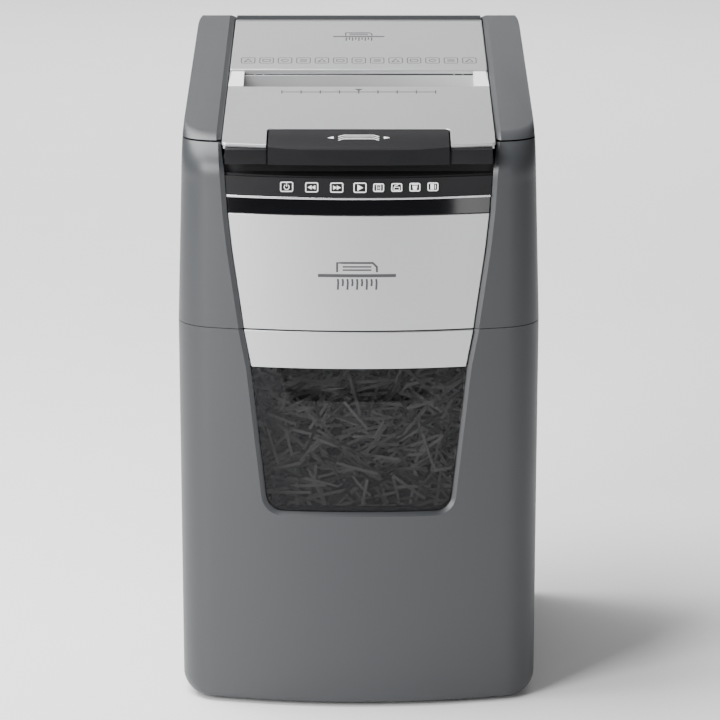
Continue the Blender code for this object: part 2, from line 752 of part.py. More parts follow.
def build_head_shell():
    made = skin("head_shell", 0.0, WALL, SEAM_Z, HEAD_TOP_Z, "charcoal")
    cut(made, front_slab("head_opening", head_opening(0.0)))
    for name, side in (("left", -1), ("right", 1)):
        low, high = sorted((side * LUG_X[0], side * LUG_X[1]))
        lug = box("hinge_lug_" + name, (low, HINGE_Y - 0.004, 0.520), (high, BACK_Y - 0.001, HINGE_Z),
                  helper=True)
        cut(lug, box("lug_notch_" + name, (low - 0.01, BACK_Y - 0.0045, HEAD_TOP_Z - 0.0013),
                     (high + 0.01, BACK_Y + 0.01, 0.6), helper=True))
        eye = turned("hinge_eye_" + name, shaft_profile((low, high, LUG_EYE)), (HINGE_Y, HINGE_Z),
                     helper=True, steps=16)
        join(made, lug, eye)
    bore = turned("hinge_bore", shaft_profile((-0.12, 0.12, ROD_RADIUS + 0.0002)), (HINGE_Y, HINGE_Z),
                  helper=True, steps=12)
    return cut(made, bore)


def build_head_front():
    panel = skin("head_front_panel", PANEL_INSET, PANEL_INSET + WALL, SEAM_Z + LINE_GAP - FIT / 2,
                 PANEL_TOP_Z - FIT, "silver")
    keep(panel, front_slab("panel_zone", head_opening(PANEL_GAP)))
    bezel = skin("control_bezel", STRIP_INSET, STRIP_INSET + STRIP_THICKNESS, PANEL_TOP_Z, STRIP_TOP_Z,
                 "gloss")
    join(bezel, build_recess_shelf())
    keep(bezel, front_slab("bezel_zone", head_opening(PANEL_GAP)))
    trim = skin("chrome_trim", TRIM_INSET, TRIM_INSET + TRIM_THICKNESS, TRIM_Z - TRIM_HEIGHT / 2,
                TRIM_Z + TRIM_HEIGHT / 2, "chrome")
    keep(trim, front_slab("trim_zone", head_opening(TRIM_GAP)))
    for name, x in BUTTON_X.items():
        cut(bezel, control(name + "_hole", x, BUTTON_SIZE, 0.0003, BUTTON_DEPTH, helper=True))
        on_axis(control(name, x, BUTTON_SIZE, 0.0, BUTTON_DEPTH, "black"), (x, FRONT_Y, BUTTON_Z))
    build_lenses(bezel)
    return bezel


def build_recess_shelf():
    """The floor and back of the finger gap above the keys, thinner towards its front edge."""
    thick, rise = RECESS_WALL, 0.002
    outline = [(FRONT_Y - CUT_PAST, STRIP_TOP_Z - thick), (FRONT_Y - CUT_PAST, STRIP_TOP_Z),
               (RECESS_BACK_Y - rise, STRIP_TOP_Z + rise),
               (RECESS_BACK_Y, HEAD_TOP_Z - 0.0035), (RECESS_BACK_Y + thick, HEAD_TOP_Z - 0.0035),
               (RECESS_BACK_Y + 0.001, STRIP_TOP_Z - 0.001)]
    shelf = prism("recess_shelf", outline, "X", -HALF_WIDTH, HALF_WIDTH, helper=True)
    return keep(shelf, form("recess_limit", STRIP_INSET, SEAM_Z, TOP_LIMIT_Z))


def control(name, x, size, gap, depth, kind=None, helper=False):
    """A key or lens that stands square to the front, its face just proud of the strip."""
    face = front_y(x, BUTTON_INSET)
    low = (x - size[0] / 2 - gap, face - (CUT_PAST if helper else 0.0), BUTTON_Z - size[1] / 2 - gap)
    high = (x + size[0] / 2 + gap, face + depth, BUTTON_Z + size[1] / 2 + gap)
    return box(name, low, high, kind, helper)


def build_lenses(bezel):
    back = front_y(LENS_X[-1], LENS_BAR_BACK)
    bar_low = (LENS_X[0] - LENS_BAR_END, back, BUTTON_Z - LENS_BAR_HALF_HEIGHT)
    bar_high = (LENS_X[-1] + LENS_BAR_END, back + LENS_BAR_THICKNESS, BUTTON_Z + LENS_BAR_HALF_HEIGHT)
    strip = box("indicator_lens_strip", bar_low, bar_high, "lens")
    for index, x in enumerate(LENS_X):
        cut(bezel, control("lens_hole_%d" % index, x, LENS_SIZE, 0.0003, BUTTON_DEPTH, helper=True))
        reach = back + STUB_OVERLAP - front_y(x, BUTTON_INSET)
        join(strip, lens_stub(index, x, reach))


def lens_stub(index, x, reach):
    face = front_y(x, LENS_INSET)
    low = (x - LENS_SIZE[0] / 2, face, BUTTON_Z - LENS_SIZE[1] / 2)
    high = (x + LENS_SIZE[0] / 2, face + reach, BUTTON_Z + LENS_SIZE[1] / 2)
    return box("lens_stub_%d" % index, low, high, helper=True)


def build_head_inside():
    base = form("head_base", WALL + FIT, SEAM_Z, SEAM_Z + BASE_THICKNESS, "inner", helper=False)
    keep(base, box("head_base_zone", (-OUT_X, -0.178, 0.0), (OUT_X, OUT_Y, MID_Z), helper=True))
    cut(base, box("discharge", (-DISCHARGE_HALF, DISCHARGE_Y[0], 0.0),
                  (DISCHARGE_HALF, DISCHARGE_Y[1], MID_Z), helper=True))
    box("control_board", (-0.080, -0.1745, 0.488), (0.080, -0.1729, 0.5095), "board")
    board = box("power_board", (-0.140, 0.148, 0.376), (-0.030, 0.1496, 0.470), "board")
    join(board, box("board_coil", (-0.125, 0.149, 0.390), (-0.085, 0.176, 0.425), helper=True),
         box("board_relay", (-0.070, 0.149, 0.388), (-0.045, 0.168, 0.405), helper=True),
         box("board_sink", (-0.130, 0.149, 0.440), (-0.050, 0.165, 0.446), helper=True))
    box("lid_switch", (0.128, -0.120, 0.519), (0.148, -0.098, 0.5375), "black")


def build_feed_tray():
    low = (-TRAY_HALF, TRAY_FRONT_Y, TRAY_FLOOR_Z - TRAY_WALL)
    high = (TRAY_HALF, TRAY_BACK_Y, TRAY_TOP_Z)
    made = box("feed_tray", low, high, "inner")
    flange = form("tray_flange", WALL + FIT, TRAY_TOP_Z - FLANGE_THICKNESS, TRAY_TOP_Z)
    flange_front = RECESS_BACK_Y + RECESS_WALL + 0.0005
    keep(flange, box("flange_zone", (-OUT_X, flange_front, MID_Z), (OUT_X, FLANGE_BACK_Y, OUT_Z),
                     helper=True))
    (inner_x, _), (_, corner_y) = FLANGE_CORNER[0], FLANGE_CORNER[-1]
    for side in (-1, 1):
        outline = [(inner_x, -OUT_Y), *FLANGE_CORNER, (OUT_X, corner_y), (OUT_X, -OUT_Y)]
        cut(flange, prism("flange_corner", [(side * x, y) for x, y in outline], "Z", MID_Z, OUT_Z,
                          helper=True))
    join(made, flange)
    cut(made, box("tray_room", (-TRAY_HALF + TRAY_WALL, TRAY_FRONT_Y + TRAY_WALL, TRAY_FLOOR_Z),
                  (TRAY_HALF - TRAY_WALL, TRAY_BACK_Y - TRAY_WALL, OUT_Z), helper=True))
    through = (TRAY_FLOOR_Z - 2 * CUT_PAST, TRAY_FLOOR_Z + CUT_PAST)
    cut(made, box("tray_throat", (-THROAT_HALF, FEED_Y - THROAT_GAP / 2, through[0]),
                  (THROAT_HALF, FEED_Y + THROAT_GAP / 2, through[1]), helper=True))
    half = ROLLER_HALF + ROLLER_WINDOW_END
    for name, side in (("front", -1), ("rear", 1)):
        y = FEED_Y + side * ROLLER_HALF_DISTANCE
        cut(made, box("roller_window_" + name, (-half, y - ROLLER_WINDOW_HALF, through[0]),
                      (half, y + ROLLER_WINDOW_HALF, through[1]), helper=True))
    keeper_low = (-KEEPER_HALF, KEEPER_Y[0], HOOK_Z)
    keeper_high = (KEEPER_HALF, KEEPER_Y[1], LID_BOTTOM_Z)
    return cut(made, box("keeper_slot", keeper_low, keeper_high, helper=True))


# --- cutting unit --------------------------------------------------------------------------------


def cutter_y(side):
    return FEED_Y + side * CUTTER_HALF_DISTANCE


def roller_y(side):
    return FEED_Y + side * ROLLER_HALF_DISTANCE


def idler_y():
    return cutter_y(1) + GEAR_MODULE * (CUTTER_TEETH + IDLER_TEETH) / 2


def pinion_y():
    return idler_y() + GEAR_MODULE * (IDLER_TEETH + PINION_TEETH) / 2


def disc_starts(side):
    """Where each disc of a cutter starts: the two cutters' discs pass between each other."""
    shift = -side * DISC_PITCH / 4
    first = -DISC_PITCH * (DISC_COUNT - 1) / 2 - DISC_WIDTH / 2
    return [first + shift + DISC_PITCH * i for i in range(DISC_COUNT)]


def build_cutter(name, side):
    stretches = [(PULLEY_X, PULLEY_X + PULLEY_WIDTH, PULLEY_RADIUS),
                 (PULLEY_X + PULLEY_WIDTH, -PLATE_X + 0.002, SHAFT_RADIUS)]
    at = -PLATE_X + 0.002
    for start in disc_starts(side):
        stretches += [(at, start, SPACER_RADIUS), (start, start + DISC_WIDTH, DISC_RADIUS)]
        at = start + DISC_WIDTH
    stretches += [(at, PLATE_X - 0.002, SPACER_RADIUS), (PLATE_X - 0.002, GEAR_X - FIT, SHAFT_RADIUS)]
    return turned(name, shaft_profile(*stretches), (cutter_y(side), CUTTER_Z), "hardened", steps=16)


def gear_outline(teeth, phase=0.0):
    """Straight-flanked teeth on a pitch circle of teeth times the module, turned by phase of one tooth."""
    pitch = GEAR_MODULE * teeth / 2
    root, tip = pitch - DEDENDUM * GEAR_MODULE, pitch + ADDENDUM * GEAR_MODULE
    corners = ((root, -ROOT_SHARE), (tip, -TIP_SHARE), (tip, TIP_SHARE), (root, ROOT_SHARE))
    step = 2 * math.pi / teeth
    points = []
    for tooth in range(teeth):
        middle = step * (tooth + phase)
        for radius, share in corners:
            angle = middle + share * step
            points.append((radius * math.cos(angle), radius * math.sin(angle)))
    return points


def build_gear(name, teeth, y, phase, kind="gear"):
    outline = [(y + u, CUTTER_Z + v) for u, v in gear_outline(teeth, phase)]
    return on_axis(prism(name, outline, "X", GEAR_X, GEAR_X + GEAR_WIDTH, kind), (0.0, y, CUTTER_Z))


def build_gears():
    """All axes lie at one height, so each gear shows a tooth or a gap on the +Y and -Y sides."""
    build_gear("cutter_gear_front", CUTTER_TEETH, cutter_y(-1), 0.0)
    build_gear("cutter_gear_rear", CUTTER_TEETH, cutter_y(1), 0.5)
    idler = build_gear("idler_gear", IDLER_TEETH, idler_y(), 0.5)
    reach = GEAR_X + STUB_OVERLAP
    stub = shaft_profile((PLATE_X + 0.0005, reach, IDLER_PIN_RADIUS))
    join(idler, turned("idler_stub", stub, (idler_y(), CUTTER_Z), helper=True, steps=12))
    pinion = build_gear("motor_pinion", PINION_TEETH, pinion_y(), 0.0, "steel")
    spindle = shaft_profile((PLATE_X - FIT, reach, SPINDLE_RADIUS))
    join(pinion, turned("pinion_spindle", spindle, (pinion_y(), CUTTER_Z), helper=True, steps=12))


def build_motor():
    end = PLATE_X - 0.0008
    start = end - MOTOR_LENGTH
    stretches = ((start - MOTOR_TAIL, start, MOTOR_TAIL),
                 (start, start + MOTOR_STEP, MOTOR_RADIUS - MOTOR_STEP_DROP),
                 (start + MOTOR_STEP, end - MOTOR_STEP, MOTOR_RADIUS),
                 (end - MOTOR_STEP, end, MOTOR_RADIUS - MOTOR_STEP_DROP))
    turned("motor", shaft_profile(*stretches), (pinion_y(), CUTTER_Z), "motor", steps=20)


def build_side_plates():
    motor_back = pinion_y() + MOTOR_RADIUS + CUT_PAST
    for name, side, back in (("side_plate_left", -1, PLATE_BACK_Y), ("side_plate_right", 1, motor_back)):
        low, high = sorted((side * PLATE_X, side * (PLATE_X + PLATE_THICKNESS)))
        outline = [(PLATE_FRONT_Y, PLATE_LOW_Z), (back, PLATE_LOW_Z), (back, PLATE_STEP_Z),
                   (PLATE_BACK_Y, PLATE_HIGH_Z), (PLATE_FRONT_Y, PLATE_HIGH_Z)]
        plate = prism(name, outline, "X", low, high, "steel")
        holes = [(cutter_y(-1), CUTTER_Z, SHAFT_RADIUS), (cutter_y(1), CUTTER_Z, SHAFT_RADIUS),
                 (roller_y(-1), ROLLER_Z, FEED_SHAFT_RADIUS), (roller_y(1), ROLLER_Z, FEED_SHAFT_RADIUS)]
        if side > 0:
            holes += [(pinion_y(), CUTTER_Z, SPINDLE_RADIUS), (idler_y(), CUTTER_Z, IDLER_PIN_RADIUS)]
        for index, (y, z, radius) in enumerate(holes):
            profile = shaft_profile((low - CUT_PAST, high + CUT_PAST, radius + BEARING_GAP))
            cut(plate, turned("%s_hole_%d" % (name, index), profile, (y, z), helper=True, steps=16))


def build_tie_rods():
    for name, y in (("tie_rod_front", ROD_Y[0]), ("tie_rod_rear", ROD_Y[1])):
        profile = shaft_profile((-PLATE_X + FIT, PLATE_X - FIT, TIE_RADIUS))
        turned(name, profile, (y, ROD_Z), "steel", steps=12)


def build_comb(name, side):
    """A flat strip with a tooth in each gap between a cutter's discs."""
    base = cutter_y(side) + side * COMB_REACH
    tip = cutter_y(side) + side * (SPACER_RADIUS + COMB_SPACER_GAP)
    spine = cutter_y(side) + side * (DISC_RADIUS + COMB_DISC_GAP)
    starts = disc_starts(side)
    points = [(-PLATE_X + 0.001, base), (-PLATE_X + 0.001, spine)]
    for start in starts[:-1]:
        gap_middle = start + DISC_WIDTH + (DISC_PITCH - DISC_WIDTH) / 2
        left, right = gap_middle - COMB_TOOTH_HALF, gap_middle + COMB_TOOTH_HALF
        points += [(left, spine), (left, tip), (right, tip), (right, spine)]
    points += [(PLATE_X - 0.001, spine), (PLATE_X - 0.001, base)]
    return prism(name, points, "Z", CUTTER_Z - COMB_THICKNESS / 2, CUTTER_Z + COMB_THICKNESS / 2, "steel")


def build_feed_roller(where, side):
    shaft = ((PULLEY_X, PULLEY_X + PULLEY_WIDTH, PULLEY_RADIUS),
             (PULLEY_X + PULLEY_WIDTH, PLATE_X + PLATE_THICKNESS + 0.001, FEED_SHAFT_RADIUS))
    turned("feed_shaft_" + where, shaft_profile(*shaft), (roller_y(side), ROLLER_Z), "steel", steps=16)
    tyre = turned("feed_tyre_" + where, shaft_profile((-ROLLER_HALF, ROLLER_HALF, ROLLER_RADIUS)),
                  (roller_y(side), ROLLER_Z), "rubber", steps=20)
    bore = turned("tyre_bore_" + where, shaft_profile((-ROLLER_HALF - 0.01, ROLLER_HALF + 0.01,
                                                       FEED_SHAFT_RADIUS + 0.0001)),
                  (roller_y(side), ROLLER_Z), helper=True, steps=16)
    cut(tyre, bore)


def build_belt(where, side):
    """A flat belt round the cutter's pulley and the feed shaft's pulley."""
    low, high = Vector((cutter_y(side), CUTTER_Z)), Vector((roller_y(side), ROLLER_Z))
    lean = math.degrees(math.atan2(high.y - low.y, high.x - low.x))

    def loop(radius):
        return arc(low, radius, lean + 90, lean + 270, 8) + arc(high, radius, lean - 90, lean + 90, 8)

    inner = PULLEY_RADIUS + FIT
    belt = prism("drive_belt_" + where, loop(inner + BELT_THICKNESS), "X", PULLEY_X + 0.001,
                 PULLEY_X + PULLEY_WIDTH - 0.001, "rubber")
    cut(belt, prism("belt_hole_" + where, loop(inner), "X", PULLEY_X - 0.01,
                    PULLEY_X + PULLEY_WIDTH + 0.01, helper=True))


def build_cutting_unit():
    build_gears()
    build_cutter("cutter_front", -1)
    build_cutter("cutter_rear", 1)
    build_motor()
    build_side_plates()
    build_tie_rods()
    build_comb("stripper_comb_front", -1)
    build_comb("stripper_comb_rear", 1)
    for where, side in (("front", -1), ("rear", 1)):
        build_feed_roller(where, side)
        build_belt(where, side)


# --- lid -----------------------------------------------------------------------------------------


def lid_form(name, inset, low, kind=None, helper=True):
    """The part of the outer form above low, with the round lower back edge that lets it swing."""
    made = prism(name, plan_outline(inset), "Z", low, TOP_LIMIT_Z, kind, helper)
    front = prism(name + "_elevation", elevation_outline(inset, True), "Y", FRONT_Y - CUT_PAST,
                  BACK_Y + CUT_PAST, helper=True)
    side = prism(name + "_side", side_outline(inset, 0.0, True), "X", -HALF_WIDTH - CUT_PAST,
                 HALF_WIDTH + CUT_PAST, helper=True)
    return keep(made, front, side)


def build_lid_frame():
    made = lid_form("lid_frame", 0.0, LID_BOTTOM_Z, "charcoal", helper=False)
    cut(made, box("lid_middle", (-ARM_X, -OUT_Y, MID_Z), (ARM_X, LID_PANEL_BACK_Y + FIT, OUT_Z),
                  helper=True))
    hollow = lid_form("lid_hollow", WALL, LID_BOTTOM_Z - CUT_PAST)
    rim = ARM_X + WALL
    cut(hollow, box("lid_arm_walls", (-rim, -OUT_Y, MID_Z), (rim, LID_PANEL_BACK_Y - WALL, OUT_Z),
                    helper=True))
    for name, side in (("left", -1), ("right", 1)):
        low, high = sorted((side * ARM_X, side * rim))
        cut(hollow, box("rod_wall_" + name, (low, LID_PANEL_BACK_Y - 0.01, MID_Z), (high, OUT_Y, OUT_Z),
                        helper=True))
    cut(made, hollow)
    for name, side in (("left", -1), ("right", 1)):
        low, high = sorted((side * (LUG_X[0] - 0.001), side * (LUG_X[1] + 0.001)))
        cut(made, box("lug_slot_" + name, (low, LID_PANEL_BACK_Y - CUT_PAST, MID_Z),
                      (high, OUT_Y, HINGE_Z + 0.0045), helper=True))
    return made


def slope_plate(name, front, back, rise, thickness, half, kind=None, helper=False, lip=0.0):
    """A plate on the sloping top, between two depths. A lip turns its front edge down."""
    outline = [(front, lid_height(front, rise)), (back, lid_height(back, rise)),
               (back, lid_height(back, rise - thickness))]
    if lip:
        outline += [(front + thickness, lid_height(front + thickness, rise - thickness)),
                    (front + thickness, lid_height(front, rise) - lip)]
        outline += [(front, lid_height(front, rise) - lip)]
    else:
        outline += [(front, lid_height(front, rise - thickness))]
    return prism(name, outline, "X", -half, half, kind, helper)


def visor_outline(front, half, steps=6):
    """The lid from above, with its slightly bowed front edge."""
    xs = [half * i / steps for i in range(steps + 1)]
    bow = [(x, front + x * x / (2 * VISOR_RADIUS)) for x in xs if x > 0]
    return [(0.0, front)] + mirrored(bow + [(half, BACK_Y)])


def build_lid_panels():
    front = slope_plate("lid_front_panel", LID_PANEL_FRONT_Y, SLOT_BACK_Y, 0.0, PANEL_THICKNESS,
                        LID_PANEL_HALF, "silver", lip=VISOR_LIP)
    cut(front, box("slot_cut", (-SLOT_HALF, SLOT_FRONT_Y, MID_Z), (SLOT_HALF, OUT_Y, OUT_Z), helper=True),
        box("tab_notch", (-TAB_HALF - 0.001, -OUT_Y, MID_Z),
            (TAB_HALF + 0.001, TAB_BACK_Y + 0.0015, OUT_Z),
            helper=True))
    keep(front, prism("visor_plan", visor_outline(LID_PANEL_FRONT_Y, LID_PANEL_HALF), "Z", MID_Z,
                      TOP_LIMIT_Z, helper=True))
    slope_plate("lid_rear_panel", SLOT_BACK_Y + FIT, LID_PANEL_BACK_Y - FIT, REAR_PANEL_RISE,
                PANEL_THICKNESS + REAR_PANEL_RISE, LID_PANEL_HALF, "silver")


def build_feed_slot():
    """The funnel under the slot: a steep front wall, a leaning rear wall and two end walls."""
    top = lid_height(SLOT_FRONT_Y, -PANEL_THICKNESS - FIT)
    back_top = lid_height(SLOT_BACK_Y, -PANEL_THICKNESS - FIT)
    low = LINER_Z + LINER_THICKNESS + 0.0004
    throat_front, throat_back = FEED_Y - FUNNEL_THROAT, FEED_Y + FUNNEL_THROAT
    front_wall = [(SLOT_FRONT_Y, top), (SLOT_FRONT_Y - 0.002, top - 0.0006),
                  (SLOT_FRONT_Y - 0.002, top - 0.006),
                  (throat_front - FUNNEL_WALL, low), (throat_front, low)]
    rear_wall = [(SLOT_BACK_Y - 0.0005, back_top), (throat_back, low), (throat_back + FUNNEL_WALL, low),
                 (SLOT_BACK_Y + 0.002, back_top)]
    inside, outside = SLOT_HALF + 0.0005, SLOT_HALF + 0.0025
    made = prism("feed_slot_funnel", rear_wall, "X", -outside, outside, "silver")
    join(made, prism("funnel_front", front_wall, "X", -outside, outside, helper=True))
    for name, side in (("left", -1), ("right", 1)):
        a, b = sorted((side * inside, side * outside))
        outline = [(SLOT_FRONT_Y - 0.001, top), (throat_front - 0.002, low), (throat_back + 0.002, low),
                   (SLOT_BACK_Y + 0.001, back_top)]
        join(made, prism("funnel_end_" + name, outline, "X", a, b, helper=True))
    return made


def fascia(name, side):
    """The black front of the lid beside the release tab, hung from the liner by a sloping web."""
    back, inner = FASCIA_Y + FASCIA_THICKNESS, -0.130
    top, under = -0.0035, -0.0055
    outline = [(FASCIA_Y, lid_height(FASCIA_Y, top)), (inner, lid_height(inner, top)),
               (inner, lid_height(inner, under)),
               (back, lid_height(back, under)), (back, TAB_BOTTOM_Z), (FASCIA_Y, TAB_BOTTOM_Z)]
    low, high = sorted((side * (TAB_HALF + 0.0015), side * FASCIA_HALF))
    return prism("fascia_" + name, outline, "X", low, high, helper=True)


def build_lid_underside():
    liner = box("lid_liner", (-LINER_HALF, LINER_FRONT_Y, LINER_Z),
                (LINER_HALF, LINER_BACK_Y, LINER_Z + LINER_THICKNESS), "inner")
    for name, side in (("left", -1), ("right", 1)):
        join(liner, fascia(name, side))
    cut(liner, box("liner_throat", (-THROAT_HALF, FEED_Y - LINER_THROAT, MID_Z),
                   (THROAT_HALF, FEED_Y + LINER_THROAT, OUT_Z), helper=True))
    press = box("pressure_plate", (-PRESS_HALF, TRAY_FRONT_Y + PRESS_MARGIN, PRESS_Z),
                (PRESS_HALF, TRAY_BACK_Y - PRESS_MARGIN, PRESS_Z + PRESS_THICKNESS), "inner")
    cut(press, box("press_slit", (-PRESS_SLIT_HALF, FEED_Y - PRESS_SLIT_GAP, SEAM_Z),
                   (PRESS_SLIT_HALF, FEED_Y + PRESS_SLIT_GAP, OUT_Z), helper=True))
    turned("lid_hinge_rod", shaft_profile((-ARM_X + FIT, ARM_X - FIT, ROD_RADIUS)), (HINGE_Y, HINGE_Z),
           "steel", steps=12)
    for name, side in (("left", -1), ("right", 1)):
        build_spring("pressure_spring_" + name, side * SPRING_X)


def build_spring(name, x):
    """A coil between the pressure plate and the lid's liner."""
    low = PRESS_Z + PRESS_THICKNESS + SPRING_WIRE + FIT
    high = LINER_Z - SPRING_WIRE - FIT
    curve = bpy.data.curves.new(name, "CURVE")
    curve.dimensions = "3D"
    curve.bevel_depth = SPRING_WIRE
    curve.bevel_resolution = 1
    curve.use_fill_caps = True
    count = SPRING_TURNS * SPRING_SIDES + 1
    spline = curve.splines.new("POLY")
    spline.points.add(count - 1)
    for i, point in enumerate(spline.points):
        angle = 2 * math.pi * i / SPRING_SIDES
        height = low + (high - low) * i / (count - 1)
        point.co = (x + SPRING_RADIUS * math.cos(angle), SPRING_Y + SPRING_RADIUS * math.sin(angle),
                    height, 1.0)
    made = bpy.data.objects.new(name, curve)
    PARTS.objects.link(made)
    curve.materials.append(MATERIALS["steel"])
    return made


def build_release_tab():
    front, back = TAB_FRONT_Y, TAB_BACK_Y
    outline = [(front - 0.001, TAB_BOTTOM_Z), (front - 0.001, lid_height(front) - 0.0025),
               (front + 0.003, lid_height(front + 0.003)),
               (back, lid_height(back)), (back, lid_height(back) - 0.0045),
               (front + 0.020, lid_height(front + 0.020) - 0.0050),
               (front + 0.0085, TAB_BOTTOM_Z + 0.004), (front + 0.006, TAB_BOTTOM_Z)]
    made = prism("lid_release_tab", outline, "X", -TAB_HALF, TAB_HALF, "black")
    keep(made, prism("tab_plan", visor_outline(TAB_FRONT_Y, TAB_HALF + 0.002), "Z", MID_Z, TOP_LIMIT_Z,
                     helper=True))
    root = lid_height(HOOK_Y) - 0.003
    hook = [(HOOK_Y, root), (HOOK_Y + 0.003, root), (HOOK_Y + 0.003, HOOK_Z + 0.0035),
            (HOOK_Y + 0.0050, HOOK_Z + 0.0035), (HOOK_Y + 0.0035, HOOK_Z), (HOOK_Y, HOOK_Z)]
    return join(made, prism("tab_hook", hook, "X", -HOOK_HALF, HOOK_HALF, helper=True))


# --- moving groups and shading -------------------------------------------------------------------


def build_carriers():
    lid_pieces = ("lid_frame", "lid_front_panel", "lid_rear_panel", "feed_slot_funnel", "lid_liner",
                  "lid_hinge_rod", "pressure_plate", "pressure_spring_left", "pressure_spring_right")
    carrier("release_tab_axis", (0.0, TAB_PIVOT_Y, TAB_PIVOT_Z), ("lid_release_tab",))
    carrier("lid_axis", (0.0, HINGE_Y, HINGE_Z), lid_pieces + ("release_tab_axis",))
    bin_pieces = ("bin_front", "bin_panel", "bin_window", "bin_tub", "paper_shreds")
    carrier("bin_slide_axis", (0.0, BIN_SPLIT_Y, TUB_BOTTOM_Z), bin_pieces)


def smooth_by_angle(limit):
    """A node group that shades smooth, except across edges that turn by more than limit."""
    group = bpy.data.node_groups.new("smooth_by_angle", "GeometryNodeTree")
    group.interface.new_socket("Geometry", in_out="INPUT", socket_type="NodeSocketGeometry")
    group.interface.new_socket("Geometry", in_out="OUTPUT", socket_type="NodeSocketGeometry")
    start = group.nodes.new("NodeGroupInput")
    angle = group.nodes.new("GeometryNodeInputMeshEdgeAngle")
    sharp = group.nodes.new("FunctionNodeCompare")
    sharp.inputs["B"].default_value = limit
    faces = group.nodes.new("GeometryNodeSetShadeSmooth")
    edges = group.nodes.new("GeometryNodeSetShadeSmooth")
    edges.domain = "EDGE"
    edges.inputs["Shade Smooth"].default_value = False
    end = group.nodes.new("NodeGroupOutput")
    group.links.new(start.outputs[0], faces.inputs["Geometry"])
    group.links.new(faces.outputs[0], edges.inputs["Geometry"])
    group.links.new(angle.outputs["Unsigned Angle"], sharp.inputs["A"])
    group.links.new(sharp.outputs[0], edges.inputs["Selection"])
    group.links.new(edges.outputs[0], end.inputs[0])
    return group


def shade_parts():
    group = smooth_by_angle(math.radians(SMOOTH_LIMIT))
    for made in PARTS.objects:
        if made.type == "MESH":
            made.modifiers.new("shading", "NODES").node_group = group


def main():
    build_bin_front()
    build_bin_panel()
    build_bin_window()
    build_bin_tub()
    build_shreds()
    build_cabinet()
    build_mains_inlet()
    build_mains_rocker()
    build_feet()
    build_head_shell()
    build_head_front()
    build_head_inside()
    build_feed_tray()
    build_cutting_unit()
    build_lid_frame()
    build_lid_panels()
    build_feed_slot()
    build_lid_underside()
    build_release_tab()
    build_carriers()
    shade_parts()


main()
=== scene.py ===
"""Looks for the paper shredder: its visible surfaces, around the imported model.

Metres, +Z up. The front faces -Y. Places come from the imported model's own boxes.
"""
import json
import random
from math import asin, atan, cos, degrees, pi, radians, sin, sqrt

import bmesh
import bpy
from mathutils import Matrix, Vector


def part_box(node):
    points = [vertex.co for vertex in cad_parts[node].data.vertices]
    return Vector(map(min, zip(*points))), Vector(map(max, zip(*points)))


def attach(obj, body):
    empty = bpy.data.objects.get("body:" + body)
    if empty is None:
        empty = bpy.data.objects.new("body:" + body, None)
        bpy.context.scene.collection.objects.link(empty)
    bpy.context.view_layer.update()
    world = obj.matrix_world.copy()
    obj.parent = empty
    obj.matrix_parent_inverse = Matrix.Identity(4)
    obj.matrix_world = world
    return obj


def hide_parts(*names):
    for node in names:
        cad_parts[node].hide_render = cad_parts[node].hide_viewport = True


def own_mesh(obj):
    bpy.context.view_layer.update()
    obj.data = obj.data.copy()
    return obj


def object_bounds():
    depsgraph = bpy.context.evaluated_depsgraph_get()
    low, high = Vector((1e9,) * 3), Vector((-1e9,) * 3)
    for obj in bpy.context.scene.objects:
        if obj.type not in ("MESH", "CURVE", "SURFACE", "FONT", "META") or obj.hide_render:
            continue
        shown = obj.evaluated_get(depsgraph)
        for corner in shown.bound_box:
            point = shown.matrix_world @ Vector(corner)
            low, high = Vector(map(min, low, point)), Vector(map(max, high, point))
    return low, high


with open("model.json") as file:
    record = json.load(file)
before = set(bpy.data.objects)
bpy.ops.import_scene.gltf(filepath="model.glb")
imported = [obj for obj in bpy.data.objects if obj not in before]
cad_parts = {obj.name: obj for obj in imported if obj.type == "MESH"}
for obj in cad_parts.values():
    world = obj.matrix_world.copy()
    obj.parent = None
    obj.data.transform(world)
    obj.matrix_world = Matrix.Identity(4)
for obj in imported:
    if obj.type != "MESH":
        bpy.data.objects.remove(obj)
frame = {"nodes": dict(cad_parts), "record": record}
CAD_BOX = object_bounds()

# --- levels and edges of the machine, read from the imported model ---

LID_GAP = 0.0015
FRONT_Y, BACK_Y = CAD_BOX[0].y, CAD_BOX[1].y
BOTTOM_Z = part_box("cabinet_side_right")[0].z
SEAM_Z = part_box("head_shell")[0].z
SEAM_GAP = SEAM_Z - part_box("cabinet_side_right")[1].z
LID_BOTTOM_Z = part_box("lid_frame")[0].z
HEAD_TOP_Z = LID_BOTTOM_Z - LID_GAP
HALF_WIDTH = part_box("cabinet_side_right")[1].x
PANEL_TOP_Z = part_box("head_front_panel")[1].z
BEZEL_BOTTOM_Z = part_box("control_bezel")[0].z
TRIM_LOW, TRIM_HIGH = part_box("chrome_trim")
WINDOW_BOTTOM_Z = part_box("bin_window")[0].z
BIN_SPLIT_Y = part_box("bin_front")[1].y
BACK_SPLIT_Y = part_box("cabinet_side_right")[1].y
TAB_LOW, TAB_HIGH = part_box("lid_release_tab")
LID_PANEL_LOW, LID_PANEL_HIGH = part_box("lid_front_panel")
REAR_PANEL_LOW, REAR_PANEL_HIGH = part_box("lid_rear_panel")
SHREDS_LOW, SHREDS_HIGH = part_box("paper_shreds")
ROD_LOW, ROD_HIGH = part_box("lid_hinge_rod")
HINGE_Y, HINGE_Z = (ROD_LOW.y + ROD_HIGH.y) / 2, (ROD_LOW.z + ROD_HIGH.z) / 2

# --- places past the machine's surfaces, where cutting shapes end ---

OUT_X = 0.2
OUT_Y = 0.25
MID_Z = 0.5
OUT_Z = 0.65
PAST = 0.02
STEP_PAST = 0.006

# --- proportions of the outer form ---

